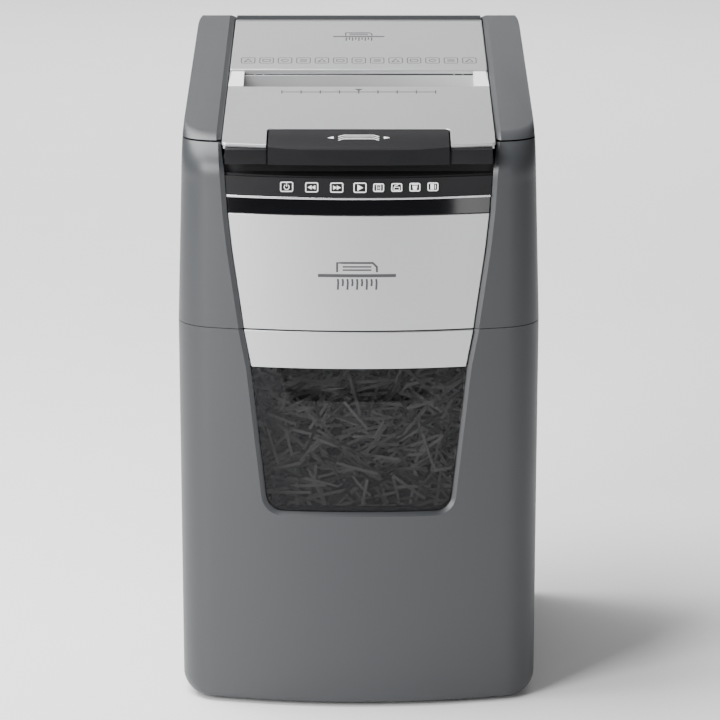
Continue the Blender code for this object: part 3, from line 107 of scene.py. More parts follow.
WALL = 0.003
BASE_HALF = HALF_WIDTH - 0.002
HEAD_TOP_HALF = HALF_WIDTH - 0.005
LID_TOP_HALF = HALF_WIDTH - 0.0098
LID_TOP_Z = 0.603
FORM_TOP_Z = 0.62
LID_FRONT_Z = 0.541
LID_SLOPE = 0.16
FRONT_RADIUS = 0.5
BOW_HALF = 0.14
BACK_CORNER = 0.02
BOTTOM_CORNER = 0.016
SILL_ROUND = 0.003
BROW_RADIUS = 0.045
BROW_BULGE = 0.0016
BROW_BULGE_Z = 0.5225
BROW_BULGE_REACH = 0.0195
TOP_BACK_RADIUS = 0.01
HINGE_ROUND = 0.0095
ARM_X = 0.1285
ARM_TOP_CORNER = 0.009
ARM_RISE = 0.006
BROW_ROWS = 0.025
HOLLOW_WALL = 0.007
HOLLOW_ROOF = 0.006
HOLLOW_FOOT = 0.04
HOLLOW_FRONT = 0.06
HOLLOW_BACK = 0.02
BRIDGE_GAP = 0.0006
LUG_X = 0.101
LUG_HALF = 0.004
LUG_SLOT_HALF = 0.005
LUG_SLOT_RISE = 0.0045
LUG_RADIUS = 0.0047
LUG_DEPTH = 0.0165
COLUMN_DEPTH = 0.075
BULGE_FOOT_Z = 0.495
LID_TAPER = 0.0034
CHAMFER = 0.0048
CHAMFER_DEPTH = 0.0034
BEVEL = 0.0007
CREASE = 19
LINE_GAP = 0.0007
PANEL_FOOT_GAP = 0.0004
SMOOTH_ANGLE = 32
SHEET_STEPS = 28
CUT_PAST = 0.002
CUT_OUT = 0.004
COLUMN_EDGE = (
    (0.108, 0.35), (0.1085, 0.37), (0.1122, 0.396), (0.119, 0.443), (0.123, 0.48),
    (0.1268, 0.54), (0.1272, 0.55),
)
WINDOW_EDGE = ((0.086, 0.193), (0.1015, 0.3315), (0.1085, 0.368), (0.1105, 0.378))
WINDOW_CORNER = 0.013
VISOR_RADIUS = 0.9
TAB_GAP = 0.0014
NOTCH_CORNER = 0.005
SLOT_HALF = 0.1115
SLOT_FRONT_Y = -0.0165
SCOOP_EDGE = ((0.069, 0.2985), (0.0785, 0.33), (0.08, 0.346))
SCOOP_BACK_Y = -0.1675
SCOOP_WALL = 0.0018
SCOOP_CORNER = 0.006
WINDOW_REACH = 0.04
WINDOW_GAP = 0.0007
WINDOW_INSET = 0.001
SIDE_FROM_X = 0.1
BIN_GAP = 0.001
BACK_GAP = 0.0003
INLET_GAP = 0.0004
ROCKER_GAP = 0.0009
HOLE_REACH = 0.01
PANEL_INSET = 0.0011
BIN_PANEL_INSET = 0.0004
BAND_INSET = 0.0012
BAND_LEAN = 0.14
STRIP_INSET = 0.002
STRIP_TOP_Z = 0.5135
TRIM_INSET = 0.0004
SHELF_HALF = 0.1262
SHELF_BACK_Y = -0.166
KEY_GAP = 0.0003
KEY_CORNER = 0.0015
KEY_INSET = 0.0013
KEY_DEPTH = 0.011
COVER_RISE = 0.0025
TAB_FOOT_Z = 0.5255
HOOK_HALF = 0.005


def stepped(table, z):
    """The value of a (value, height) table at z, straight between its rows."""
    rows = sorted(table, key=lambda row: row[1])
    for (low, low_z), (high, high_z) in zip(rows, rows[1:]):
        if z <= high_z:
            break
    share = (z - low_z) / (high_z - low_z)
    return low + (high - low) * max(share, 0.0)


def column_edge(z):
    return stepped(COLUMN_EDGE, z)


def front_y(x, inset=0.0):
    """Where the bowed front face lies at x."""
    return FRONT_Y + inset + x * x / (2 * FRONT_RADIUS)


def lid_height(y, rise=0.0):
    """Height of the sloping top at y."""
    return LID_FRONT_Z + rise + LID_SLOPE * (y - FRONT_Y)


def behind_brow(y):
    """0 at the brow and 1 at the back."""
    start = FRONT_Y + BROW_RADIUS
    return max(y - start, 0.0) / (BACK_Y - start)


def arm_height(y):
    """Height of the arms' top at y: it leaves the lid's slope at the brow and stands proud at the back."""
    return lid_height(y) + ARM_RISE * behind_brow(y)


def tapered(half, y):
    """Half a width of the lid's middle at y: the arms come closer together towards the back."""
    return half - LID_TAPER * behind_brow(y)


SLOPE_ANGLE = atan(LID_SLOPE)


def half_width(z):
    """Half the machine's width at a height."""
    table = ((BASE_HALF, BOTTOM_Z), (HALF_WIDTH, SEAM_Z), (HEAD_TOP_HALF, LID_BOTTOM_Z),
             (LID_TOP_HALF, LID_TOP_Z), (LID_TOP_HALF, 1.0))
    wide = stepped(table, z)
    below = BOTTOM_Z + BOTTOM_CORNER - z
    if below > 0:
        wide -= BOTTOM_CORNER - sqrt(max(BOTTOM_CORNER ** 2 - below ** 2, 0.0))
    return wide


def setback(z, foot_y):
    """How far the front lies behind its foot: round sill, slight bulge, round brow."""
    centre_z = arm_height(foot_y + BROW_RADIUS) - BROW_RADIUS / cos(SLOPE_ANGLE)
    rise = min(max(z - centre_z, 0.0), BROW_RADIUS * cos(SLOPE_ANGLE))
    back = BROW_RADIUS - sqrt(BROW_RADIUS ** 2 - rise ** 2)
    off = (z - BROW_BULGE_Z) / BROW_BULGE_REACH
    if abs(off) < 1:
        back -= BROW_BULGE * (0.5 + 0.5 * cos(pi * off))
    below = BOTTOM_Z + SILL_ROUND - z
    if below > 0:
        back += SILL_ROUND - sqrt(max(SILL_ROUND ** 2 - below ** 2, 0.0))
    return back


def front_at(x, z, inset=0.0):
    return front_y(x, inset) + setback(z, front_y(x))


def arc(centre, radius, start, end, steps=8):
    """Points on a circle from one angle in degrees to another, both ends included."""
    angles = [radians(start + (end - start) * i / steps) for i in range(steps + 1)]
    return [(centre[0] + radius * cos(a), centre[1] + radius * sin(a)) for a in angles]


def mirrored(half):
    """A half outline at +x, from the lower end to the upper end, with its mirror image."""
    return half + [(-x, y) for x, y in reversed(half)]


def ring(z, inset=0.0):
    """The machine's outline in plan at a height, as points in space."""
    tilt = degrees(asin(BOW_HALF / FRONT_RADIUS))
    side = half_width(z)
    corner = (side - BOW_HALF) / (1 - sin(radians(tilt)))
    centre = (side - corner, front_y(BOW_HALF) + corner * cos(radians(tilt)))
    half = [(x, front_y(x, inset)) for x in spread(0.0, BOW_HALF, 18)[1:-1]]
    half += arc(centre, max(corner - inset, 0.001), tilt - 90, 0, 14)
    half = [(x, y + setback(z, y - inset)) for x, y in half]
    half += arc((side - BACK_CORNER, BACK_Y - BACK_CORNER), BACK_CORNER - inset, 0, 90)
    outline = [(0.0, front_y(0.0, inset) + setback(z, FRONT_Y))] + mirrored(half)
    return [Vector((x, y, z)) for x, y in outline]


# --- making meshes ---


def new_object(name, mesh):
    made = bpy.data.objects.new(name, mesh)
    bpy.context.scene.collection.objects.link(made)
    return made


def from_bmesh(name, shape):
    bmesh.ops.remove_doubles(shape, verts=shape.verts, dist=1e-7)
    bmesh.ops.recalc_face_normals(shape, faces=shape.faces)
    mesh = bpy.data.meshes.new(name)
    shape.to_mesh(mesh)
    shape.free()
    return new_object(name, mesh)


def add_loft(shape, rings, joined=False):
    """Faces between rings of points. The ends are capped, unless the last ring meets the first."""
    rows = [[shape.verts.new(point) for point in points] for points in rings]
    pairs = list(zip(rows, rows[1:]))
    if joined:
        pairs.append((rows[-1], rows[0]))
    else:
        shape.faces.new(rows[0])
        shape.faces.new(reversed(rows[-1]))
    for low, high in pairs:
        for i in range(len(low)):
            j = (i + 1) % len(low)
            shape.faces.new((low[i], high[i], high[j], low[j]))


def loft(name, rings, joined=False):
    shape = bmesh.new()
    add_loft(shape, rings, joined)
    return from_bmesh(name, shape)


def lift(outline, axis, at):
    """A flat outline as points in space, at a place along X (given as y, z), Y (x, z) or Z (x, y)."""
    if axis == "X":
        return [Vector((at, u, v)) for u, v in outline]
    if axis == "Y":
        return [Vector((u, at, v)) for u, v in outline]
    return [Vector((u, v, at)) for u, v in outline]


def prism(name, outline, axis, low, high):
    return loft(name, [lift(outline, axis, low), lift(outline, axis, high)])


def block(name, low, high):
    outline = [(low[0], low[1]), (high[0], low[1]), (high[0], high[1]), (low[0], high[1])]
    return prism(name, outline, "Z", low[2], high[2])


def carve(target, operation, *others):
    """The target cut by, kept inside or joined with the others, which are used up."""
    for other in others:
        change = target.modifiers.new("carve", "BOOLEAN")
        change.operation = operation
        change.solver = "EXACT"
        change.object = other
    graph = bpy.context.evaluated_depsgraph_get()
    mesh = bpy.data.meshes.new_from_object(target.evaluated_get(graph))
    target.modifiers.clear()
    target.data = mesh
    for other in others:
        bpy.data.objects.remove(other)
    return target


def cut(target, *others):
    return carve(target, "DIFFERENCE", *others)


def keep(target, *others):
    return carve(target, "INTERSECT", *others)


def join(target, *others):
    return carve(target, "UNION", *others)


def form(name, levels, inset=0.0):
    """The outer form as a solid through its outlines at the given heights."""
    return loft(name, [ring(z, inset) for z in levels])


def spread(low, high, count):
    return [low + (high - low) * i / count for i in range(count + 1)]


def corner_levels():
    """Heights that follow the rounded lower corners, then a straight rise."""
    turn = [BOTTOM_Z + BOTTOM_CORNER * (1 - cos(radians(a))) for a in range(0, 91, 10)]
    return turn + spread(BOTTOM_Z + BOTTOM_CORNER + 0.02, SEAM_Z - SEAM_GAP, 4)


def sheet(name, levels, half, inset, thickness, lean=0.0):
    """A sheet behind the bowed front face, as wide at each height as half says. It can lean back."""
    rings = []
    for z in levels:
        xs = [half(z) * (2 * i / SHEET_STEPS - 1) for i in range(SHEET_STEPS + 1)]
        depth = inset + lean * (z - levels[0])
        front = [Vector((x, front_y(x, depth), z)) for x in xs]
        back = [Vector((x, front_y(x, inset + thickness), z)) for x in reversed(xs)]
        rings.append(front + back)
    return loft(name, rings)


def chamfer_cutter(name, path):
    """A cutter that takes the corner off along an edge: points with the face's normal and inward way."""
    rings = []
    for point, normal, inward in path:
        on_face = point + inward * CHAMFER
        on_side = point - normal * CHAMFER_DEPTH
        along = (on_face - on_side).normalized() * CUT_PAST
        rings.append([on_face + along, on_side - along, point + (normal - inward) * CUT_OUT])
    return loft(name, rings)


def dress(made, kind, body, bevel=BEVEL, angle=SMOOTH_ANGLE, replaced=()):
    """Shading, edge rounding, material, body and material slot of a finished piece."""
    mesh = made.data
    mesh.materials.clear()
    mesh.materials.append(KINDS[kind])
    mesh.shade_smooth()
    mesh.set_sharp_from_angle(angle=radians(angle))
    if bevel:
        rounding = made.modifiers.new("edges", "BEVEL")
        rounding.width = bevel
        rounding.segments = 2
        rounding.limit_method = "ANGLE"
        rounding.angle_limit = radians(angle)
        rounding.harden_normals = True
        rounding.use_clamp_overlap = True
    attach(made, body)
    if replaced:
        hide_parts(*replaced)
    return made


# --- materials ---


def shine(level):
    """The setting of a surface that mirrors less than a common plastic."""
    return {"Specular IOR Level": level}


def surface(name, colour, rough, grain=900.0, depth=0.00003, mottle=0.05, metallic=0.0,
            sockets=None, per_piece=False):
    """A moulded, painted or rolled surface: slow changes of colour and gloss, and a fine relief.

    With per_piece, each loose piece of the mesh has its own tone instead.
    """
    made = bpy.data.materials.new(name)
    made.use_nodes = True
    nodes, links = made.node_tree.nodes, made.node_tree.links
    shader = nodes["Principled BSDF"]
    shader.inputs["Metallic"].default_value = metallic
    for key, value in (sockets or {}).items():
        shader.inputs[key].default_value = value
    place = nodes.new("ShaderNodeTexCoord")
    cloud = nodes.new("ShaderNodeTexNoise")
    cloud.inputs["Scale"].default_value = 9.0
    cloud.inputs["Detail"].default_value = 3.0
    tone = nodes.new("ShaderNodeMix")
    tone.data_type = "RGBA"
    tone.inputs[6].default_value = (*[c * (1 - mottle) for c in colour], 1.0)
    tone.inputs[7].default_value = (*[min(c * (1 + mottle), 1.0) for c in colour], 1.0)
    gloss = nodes.new("ShaderNodeMapRange")
    gloss.inputs["To Min"].default_value = rough * 0.88
    gloss.inputs["To Max"].default_value = rough * 1.12
    fine = nodes.new("ShaderNodeTexNoise")
    fine.inputs["Scale"].default_value = grain
    relief = nodes.new("ShaderNodeBump")
    relief.inputs["Strength"].default_value = 0.6
    relief.inputs["Distance"].default_value = depth
    links.new(place.outputs["Object"], cloud.inputs["Vector"])
    links.new(place.outputs["Object"], fine.inputs["Vector"])
    tone_by = cloud.outputs["Fac"]
    if per_piece:
        tone_by = nodes.new("ShaderNodeNewGeometry").outputs["Random Per Island"]
    links.new(tone_by, tone.inputs[0])
    links.new(cloud.outputs["Fac"], gloss.inputs["Value"])
    links.new(fine.outputs["Fac"], relief.inputs["Height"])
    links.new(tone.outputs[2], shader.inputs["Base Color"])
    links.new(gloss.outputs[0], shader.inputs["Roughness"])
    links.new(relief.outputs[0], shader.inputs["Normal"])
    return made


KINDS = {
    "charcoal": surface("charcoal_plastic", (0.034, 0.0363, 0.0395), 0.42, 700, 0.00004),
    "silver": surface("silver_paint", (0.52, 0.525, 0.532), 0.38, 1500, 0.00002, 0.03, 0.85),
    "slot_silver": surface("slot_silver", (0.8, 0.805, 0.81), 0.45, 1500, 0.00002, 0.03, 0.1),
    "gloss": surface("gloss_black", (0.003, 0.003, 0.004), 0.1, 60, 0.00002, sockets=shine(0.25)),
    "strip": surface("satin_black_strip", (0.007, 0.007, 0.008), 0.34, 900, 0.00002, sockets=shine(0.22)),
    "black": surface("black_plastic", (0.008, 0.008, 0.009), 0.46, 900, 0.00003, sockets=shine(0.14)),
    "inner": surface("inner_plastic", (0.012, 0.012, 0.013), 0.5, 700, 0.000015, sockets=shine(0.2)),
    "chrome": surface("chrome", (0.6, 0.6, 0.62), 0.2, 300, 0.00001, 0.02, 1.0),
    "lens": surface("lens", (0.01, 0.01, 0.011), 0.16, 300, 0.00001, sockets=shine(0.3)),
    "board": surface("circuit_board", (0.02, 0.11, 0.05), 0.4, 500, 0.00005, 0.25),
    "motor": surface("motor_case", (0.1, 0.1, 0.11), 0.4, 500, 0.00003, 0.1, 0.8),
    "steel": surface("steel", (0.45, 0.45, 0.47), 0.34, 400, 0.00002, 0.1, 1.0),
    "hardened": surface("hardened_steel", (0.24, 0.24, 0.25), 0.3, 400, 0.00002, 0.15, 1.0),
    "gear": surface("gear_plastic", (0.62, 0.6, 0.52), 0.45, 700, 0.00003),
    "rubber": surface("rubber", (0.02, 0.02, 0.02), 0.8, 1200, 0.00008),
    "smoke": surface("smoked_window", (0.008, 0.008, 0.009), 0.07, 60, 0.00001, 0.02, 0.0,
                     {"Alpha": 0.55, **shine(0.2)}),
    # Painted shade: each cut strip gets its own random tone, down to near black, standing in for strips
    # lying in each other's shade.
    "paper": surface("cut_paper", (0.46, 0.46, 0.45), 0.85, 500, 0.00003, 0.8, per_piece=True),
    # Painted shade: the heap's core is white paper, coloured near black to stand for the shadow between its
    # strips.
    "shaded_core": surface("shaded_paper_core", (0.03, 0.03, 0.031), 0.9, 300, 0.0003, 0.35),
    "ink_white": surface("white_ink", (0.84, 0.84, 0.84), 0.45, 900, 0.00001),
    "ink_dark": surface("dark_ink", (0.045, 0.045, 0.05), 0.45, 900, 0.00001),
}
SLOT_KINDS = {
    "gloss_black": "gloss", "black_plastic": "black", "inner_plastic": "inner", "circuit_board": "board",
    "motor_case": "motor", "hardened_steel": "hardened", "gear_plastic": "gear",
    "smoked_window": "smoke", "cut_paper": "paper",
}


def smooth_by_angle(limit):
    """A node group that shades smooth, except across edges that turn by more than limit."""
    group = bpy.data.node_groups.new("smooth_by_angle", "GeometryNodeTree")
    group.interface.new_socket("Geometry", in_out="INPUT", socket_type="NodeSocketGeometry")
    group.interface.new_socket("Geometry", in_out="OUTPUT", socket_type="NodeSocketGeometry")
    start, end = group.nodes.new("NodeGroupInput"), group.nodes.new("NodeGroupOutput")
    angle = group.nodes.new("GeometryNodeInputMeshEdgeAngle")
    sharp = group.nodes.new("FunctionNodeCompare")
    sharp.inputs["B"].default_value = limit
    faces = group.nodes.new("GeometryNodeSetShadeSmooth")
    edges = group.nodes.new("GeometryNodeSetShadeSmooth")
    edges.domain = "EDGE"
    edges.inputs["Shade Smooth"].default_value = False
    group.links.new(start.outputs[0], faces.inputs["Geometry"])
    group.links.new(faces.outputs[0], edges.inputs["Geometry"])
    group.links.new(angle.outputs["Unsigned Angle"], sharp.inputs["A"])
    group.links.new(sharp.outputs[0], edges.inputs["Selection"])
    group.links.new(edges.outputs[0], end.inputs[0])
    return group


def dress_nodes():
    """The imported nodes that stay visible: welded, with rounded edges and their own materials."""
    group = smooth_by_angle(radians(SMOOTH_ANGLE))
    for entry in frame["record"]["subparts"]:
        node = frame["nodes"][entry["node"]]
        slot = entry["material_slot"]
        kind = KINDS[SLOT_KINDS.get(slot, slot)]
        if not node.material_slots:
            node.data.materials.append(kind)
        for place in node.material_slots:
            place.material = kind
        weld = node.modifiers.new("weld", "WELD")
        weld.merge_threshold = WELD_REACH
        if entry["node"] in BOXY:
            rounding = node.modifiers.new("edges", "BEVEL")
            rounding.width = BOXY[entry["node"]]
            rounding.segments = 2
            rounding.limit_method = "ANGLE"
            rounding.angle_limit = radians(BOXY_ANGLE)
        node.modifiers.new("shading", "NODES").node_group = group


WELD_REACH = 0.00001
BOXY_ANGLE = 35
BOXY = {
    "feed_slot_funnel": 0.0004, "lid_liner": 0.0006, "bin_tub": 0.0005, "feed_tray": 0.0005,
    "mains_inlet": 0.0003, "mains_rocker": 0.0005, "power_board": 0.0003, "pressure_plate": 0.0004,
    "base_plate": 0.0006, "side_plate_left": 0.0003, "side_plate_right": 0.0003,
    "motor": 0.0008, "lid_switch": 0.0005,
}


# --- outer shells ---


def shell(name, levels):
    """The wall of the outer form between two heights, open above and below."""
    made = form(name, levels)
    low, high = levels[0], levels[-1]
    inner = [low - 0.004] + levels[1:-1] + [high + 0.004]
    return cut(made, form("core", inner, WALL))


def closed_shell(name):
    """The wall of the cabinet and bin with its floor left in."""
    made = form(name, corner_levels())
    inner = [z for z in corner_levels() if z > BOTTOM_Z + WALL] + [SEAM_Z + 0.004]
    return cut(made, form("core", inner, WALL))


def face_normal(x, z):
    """The front face's normal at a place, from its own shape."""
    small = 0.0005
    across = Vector((2 * small, front_at(x + small, z) - front_at(x - small, z), 0.0))
    up = Vector((0.0, front_at(x, z + small) - front_at(x, z - small), 2 * small))
    return across.cross(up).normalized(), across.normalized()


def column_path(side, low, high, edge, steps=70):
    """The inner edge of a column, with normals, from one height to another."""
    path = []
    for z in spread(low, high, steps):
        x = side * edge(z)
        normal, across = face_normal(x, z)
        path.append((Vector((x, front_at(x, z), z)), normal, across * side))
    return path


def brow_top(x):
    """Where the round brow runs into the sloping top, at x: depth and height."""
    y = front_y(x) + BROW_RADIUS * (1 - sin(SLOPE_ANGLE))
    return y, arm_height(y)


def arm_path(side):
    """The inner edge of a lid arm, up the brow and then back along the slope."""
    x = side * ARM_X
    top_y, top_z = brow_top(x)
    path = column_path(side, HEAD_TOP_Z - 0.006, top_z - 0.0003, lambda z: ARM_X, 24)
    normal = Vector((0.0, -sin(SLOPE_ANGLE), cos(SLOPE_ANGLE)))
    for y in spread(top_y + 0.002, BACK_Y + 0.006, 12):
        path.append((Vector((side * tapered(ARM_X, y), y, arm_height(y))), normal, Vector((side, 0.0, 0.0))))
    return path


def side_wedge(name):
    """The lid from the side: the sloping top, its round rear edge and the round below the hinge."""
    slope = degrees(SLOPE_ANGLE)
    back_y = BACK_Y - TOP_BACK_RADIUS
    back = (back_y, arm_height(back_y) - TOP_BACK_RADIUS / cos(SLOPE_ANGLE))
    outline = [(y, arm_height(y)) for y in (-OUT_Y, FRONT_Y + BROW_RADIUS)]
    outline += arc(back, TOP_BACK_RADIUS, 90 + slope, 0)
    outline += arc((HINGE_Y, HINGE_Z), HINGE_ROUND, 0, -90)
    outline += [(HINGE_Y, MID_Z), (-OUT_Y, MID_Z)]
    return prism(name, outline, "X", -OUT_X, OUT_X)


def arm_elevation(name):
    """The lid from the front, with rounded upper corners."""
    top = arm_height(BACK_Y) - 0.0005
    lean = degrees(atan((HEAD_TOP_HALF - LID_TOP_HALF) / (LID_TOP_Z - LID_BOTTOM_Z)))
    centre = (half_width(top - ARM_TOP_CORNER) - ARM_TOP_CORNER, top - ARM_TOP_CORNER)
    foot_z = 0.52
    half = [(half_width(foot_z) + 0.001, foot_z)]
    half += [(x + 0.0001, z) for x, z in arc(centre, ARM_TOP_CORNER, lean, 90)]
    return prism(name, mirrored(half), "Y", -OUT_Y, OUT_Y)


def arm_hollow(side):
    """The room inside an arm, open below."""
    low, high = sorted((side * (ARM_X + WALL), side * (HEAD_TOP_HALF - HOLLOW_WALL)))
    foot_y, front, back = FRONT_Y + HOLLOW_FOOT, FRONT_Y + HOLLOW_FRONT, HINGE_Y - HOLLOW_BACK
    outline = [(foot_y, MID_Z), (back, MID_Z), (back, lid_height(back, -HOLLOW_ROOF)),
               (front, lid_height(front, -HOLLOW_ROOF))]
    return prism("arm_hollow", outline, "X", low, high)


def build_arms():
    """The lid's side arms and the rear bridge between them."""
    brow_end = LID_BOTTOM_Z + BROW_ROWS
    levels = spread(LID_BOTTOM_Z, brow_end, 22) + spread(brow_end + 0.003, FORM_TOP_Z, 16)
    made = form("lid_arms", levels)
    keep(made, side_wedge("wedge"), arm_elevation("arm_front"))
    bridge_y = REAR_PANEL_HIGH.y + BRIDGE_GAP
    half = [(tapered(ARM_X, y), y) for y in (-OUT_Y, FRONT_Y + BROW_RADIUS, bridge_y)]
    cut(made, prism("middle", mirrored(half), "Z", MID_Z, OUT_Z))
    for side in (-1, 1):
        cut(made, arm_hollow(side))
        cut(made, chamfer_cutter("arm_chamfer", arm_path(side)))
        low, high = sorted((side * (LUG_X - LUG_SLOT_HALF), side * (LUG_X + LUG_SLOT_HALF)))
        cut(made, block("lug_slot", (low, bridge_y - 0.004, MID_Z), (high, OUT_Y, HINGE_Z + LUG_SLOT_RISE)))
    return dress(made, "charcoal", "lid", BEVEL, CREASE, ("lid_frame",))


def hinge_lug(side):
    """A lug on the head's rear edge that holds the lid's rod."""
    low, high = sorted((side * (LUG_X - LUG_HALF), side * (LUG_X + LUG_HALF)))
    foot_z = HEAD_TOP_Z - LUG_DEPTH
    outline = [(HINGE_Y - LUG_HALF, foot_z), (BACK_Y - 0.002, foot_z), (BACK_Y - 0.002, HEAD_TOP_Z - 0.0013),
               (BACK_Y - 0.0045, HEAD_TOP_Z + 0.002)]
    outline += arc((HINGE_Y, HINGE_Z), LUG_RADIUS, -30, 210, 12)
    return prism("lug", outline, "X", low, high)


def build_head():
    """The head between the seam and the lid, with its two columns."""
    levels = [SEAM_Z, 0.42, 0.47] + spread(BULGE_FOOT_Z, HEAD_TOP_Z, 24)
    made = shell("head_columns", levels)
    foot_z = SEAM_Z - STEP_PAST
    half = [(column_edge(z), z) for z in spread(foot_z, HEAD_TOP_Z + STEP_PAST, 24)]
    cut(made, prism("opening", mirrored(half), "Y", FRONT_Y - PAST, FRONT_Y + COLUMN_DEPTH))
    for side in (-1, 1):
        path = column_path(side, foot_z, HEAD_TOP_Z + WALL, column_edge)
        cut(made, chamfer_cutter("chamfer", path))
        join(made, hinge_lug(side))
    return dress(made, "charcoal", "cabinet", BEVEL, CREASE, ("head_shell",))


def window_rows(low, high):
    """Heights through the window's round lower corners and up its sides."""
    turn = [low + WINDOW_CORNER * (1 - cos(radians(a))) for a in range(0, 91, 9)]
    return turn + spread(low + WINDOW_CORNER + 0.01, high, 6)


def window_half(z, low, gap=0.0):
    below = low + WINDOW_CORNER - z
    half = stepped(WINDOW_EDGE, z) - gap
    if below > 0:
        half -= WINDOW_CORNER - sqrt(max(WINDOW_CORNER ** 2 - below ** 2, 0.0))
    return half


def window_path():
    """Round the window from the seam down one side, along the sill and up the other."""
    low = WINDOW_EDGE[0][1]
    rows = [z for z in window_rows(low, SEAM_Z + STEP_PAST) if z > low]
    rows += [WINDOW_EDGE[1][1]]
    half = [(window_half(z, low), z) for z in sorted(set(rows))]
    foot_x = half[0][0]
    half = [(foot_x * share, low) for share in (0.25, 0.5, 0.75)] + [(foot_x - 0.002, low)] + half
    points = [(-x, z) for x, z in reversed(half)] + [(0.0, low)] + half
    path = []
    for i, (x, z) in enumerate(points):
        before_x, before_z = points[max(i - 1, 0)]
        after_x, after_z = points[min(i + 1, len(points) - 1)]
        along = Vector((after_x - before_x, 0.0, after_z - before_z)).normalized()
        out = Vector((along.z, 0.0, -along.x))
        bow = Vector((x / FRONT_RADIUS, -1.0, 0.0)).normalized()
        inward = (out - bow * out.dot(bow)).normalized()
        path.append((Vector((x, front_y(x), z)), bow, inward))
    return path


def build_bin_front():
    made = closed_shell("bin_door")
    keep(made, block("zone", (-OUT_X, -OUT_Y, 0.0), (OUT_X, BIN_SPLIT_Y, MID_Z)))
    low = WINDOW_EDGE[0][1]
    rows = window_rows(low, SEAM_Z + STEP_PAST)
    outline = mirrored([(window_half(z, low), z) for z in rows])
    cut(made, prism("opening", outline, "Y", FRONT_Y - PAST, FRONT_Y + WINDOW_REACH))
    cut(made, chamfer_cutter("chamfer", window_path()))
    return dress(made, "charcoal", "bin", BEVEL, CREASE, ("bin_front",))


def build_cabinet():
    for name, side in (("left", -1), ("right", 1)):
        made = closed_shell("cabinet_panel_" + name)
        low, high = sorted((side * SIDE_FROM_X, side * OUT_X))
        keep(made, block("zone", (low, BIN_SPLIT_Y + BIN_GAP, 0.0), (high, BACK_SPLIT_Y, MID_Z)))
        dress(made, "charcoal", "cabinet", BEVEL, replaced=("cabinet_side_" + name,))
    made = closed_shell("cabinet_rear")
    keep(made, block("zone", (-OUT_X, BACK_SPLIT_Y + BACK_GAP, 0.0), (OUT_X, OUT_Y, MID_Z)))
    for node, grow in (("mains_inlet", INLET_GAP), ("mains_rocker", ROCKER_GAP)):
        low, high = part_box(node)
        inner = (low.x - grow, BACK_Y - HOLE_REACH, low.z - grow)
        outer = (high.x + grow, BACK_Y + HOLE_REACH, high.z + grow)
        cut(made, block("hole", inner, outer))
    dress(made, "charcoal", "cabinet", BEVEL, replaced=("cabinet_back",))


# --- silver and black front pieces ---


def panel_half(z):
    """Half the width between the columns, inside the gap lines."""
    return column_edge(z) - LINE_GAP


def bin_panel_half(z):
    return stepped(WINDOW_EDGE, z) - LINE_GAP


def build_front_panel():
    levels = spread(SEAM_Z + PANEL_FOOT_GAP, PANEL_TOP_Z, 10)
    made = sheet("front_panel", levels, panel_half, PANEL_INSET, WALL)
    dress(made, "silver", "cabinet", 0.0009, replaced=("head_front_panel",))


def build_bin_panel():
    low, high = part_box("bin_panel")
    made = sheet("bin_top_panel", spread(low.z, high.z, 4), bin_panel_half, BIN_PANEL_INSET, WALL)
    dress(made, "silver", "bin", 0.001, replaced=("bin_panel",))


def scoop_outline(shrink, low, high):
    """The finger scoop from the front, with round lower corners."""
    foot = stepped(SCOOP_EDGE, low) - shrink
    half = arc((foot - SCOOP_CORNER, low + shrink + SCOOP_CORNER), SCOOP_CORNER, -90, -15, 6)
    return mirrored(half + [(stepped(SCOOP_EDGE, high) - shrink, high - shrink)])


def build_window():
    """The smoked window with the pocket of the finger scoop, which reaches up behind the panel."""
    low, top = WINDOW_BOTTOM_Z, WINDOW_EDGE[1][1] - 0.0003
    rows = window_rows(low, top)
    made = sheet("smoked_window", rows, lambda z: window_half(z, low, WINDOW_GAP), WINDOW_INSET, WALL)
    scoop_low, scoop_high = SCOOP_EDGE[0][1], SCOOP_EDGE[-1][1]
    pocket = prism("pocket", scoop_outline(0.0, scoop_low, scoop_high), "Y", FRONT_Y, SCOOP_BACK_Y)
    keep(pocket, form("behind", [0.25, top, top + 0.00001, 0.36], 0.0012))
    cut(pocket, block("panel_back", (-0.1, -OUT_Y, top - 0.0001), (0.1, -0.1862, 0.36)))
    join(made, pocket)
    room = scoop_outline(SCOOP_WALL, scoop_low, scoop_high)
    cut(made, prism("inside", room, "Y", FRONT_Y - 0.01, SCOOP_BACK_Y - SCOOP_WALL))
    dress(made, "smoke", "bin", 0.0004, replaced=("bin_window",))


LENS_XS = (0.0185, 0.0353, 0.0522, 0.069)
LENS_Z = 0.505
LENS_HALF_X = 0.00525
LENS_HALF_Z = 0.00425


def key_places():
    """Centre and half sizes of the four keys and the four lenses, from left to right."""
    places = {}
    for name in ("power_button", "reverse_button", "forward_button", "start_button"):
        low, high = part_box(name)
        centre, half = (low + high) / 2, (high - low) / 2
        places[name] = (centre.x, centre.z, half.x, half.z)
    for index, x in enumerate(LENS_XS):
        places["lens_%d" % index] = (x, LENS_Z, LENS_HALF_X, LENS_HALF_Z)
    return places


def rounded(half_x, half_z, radius, steps=4, centre=(0.0, 0.0)):
    """A rounded rectangle."""
    points = []
    for sign_x, sign_z, start in ((1, -1, -90), (1, 1, 0), (-1, 1, 90), (-1, -1, 180)):
        middle = (centre[0] + sign_x * (half_x - radius), centre[1] + sign_z * (half_z - radius))
        points += arc(middle, radius, start, start + 90, steps)
    return points


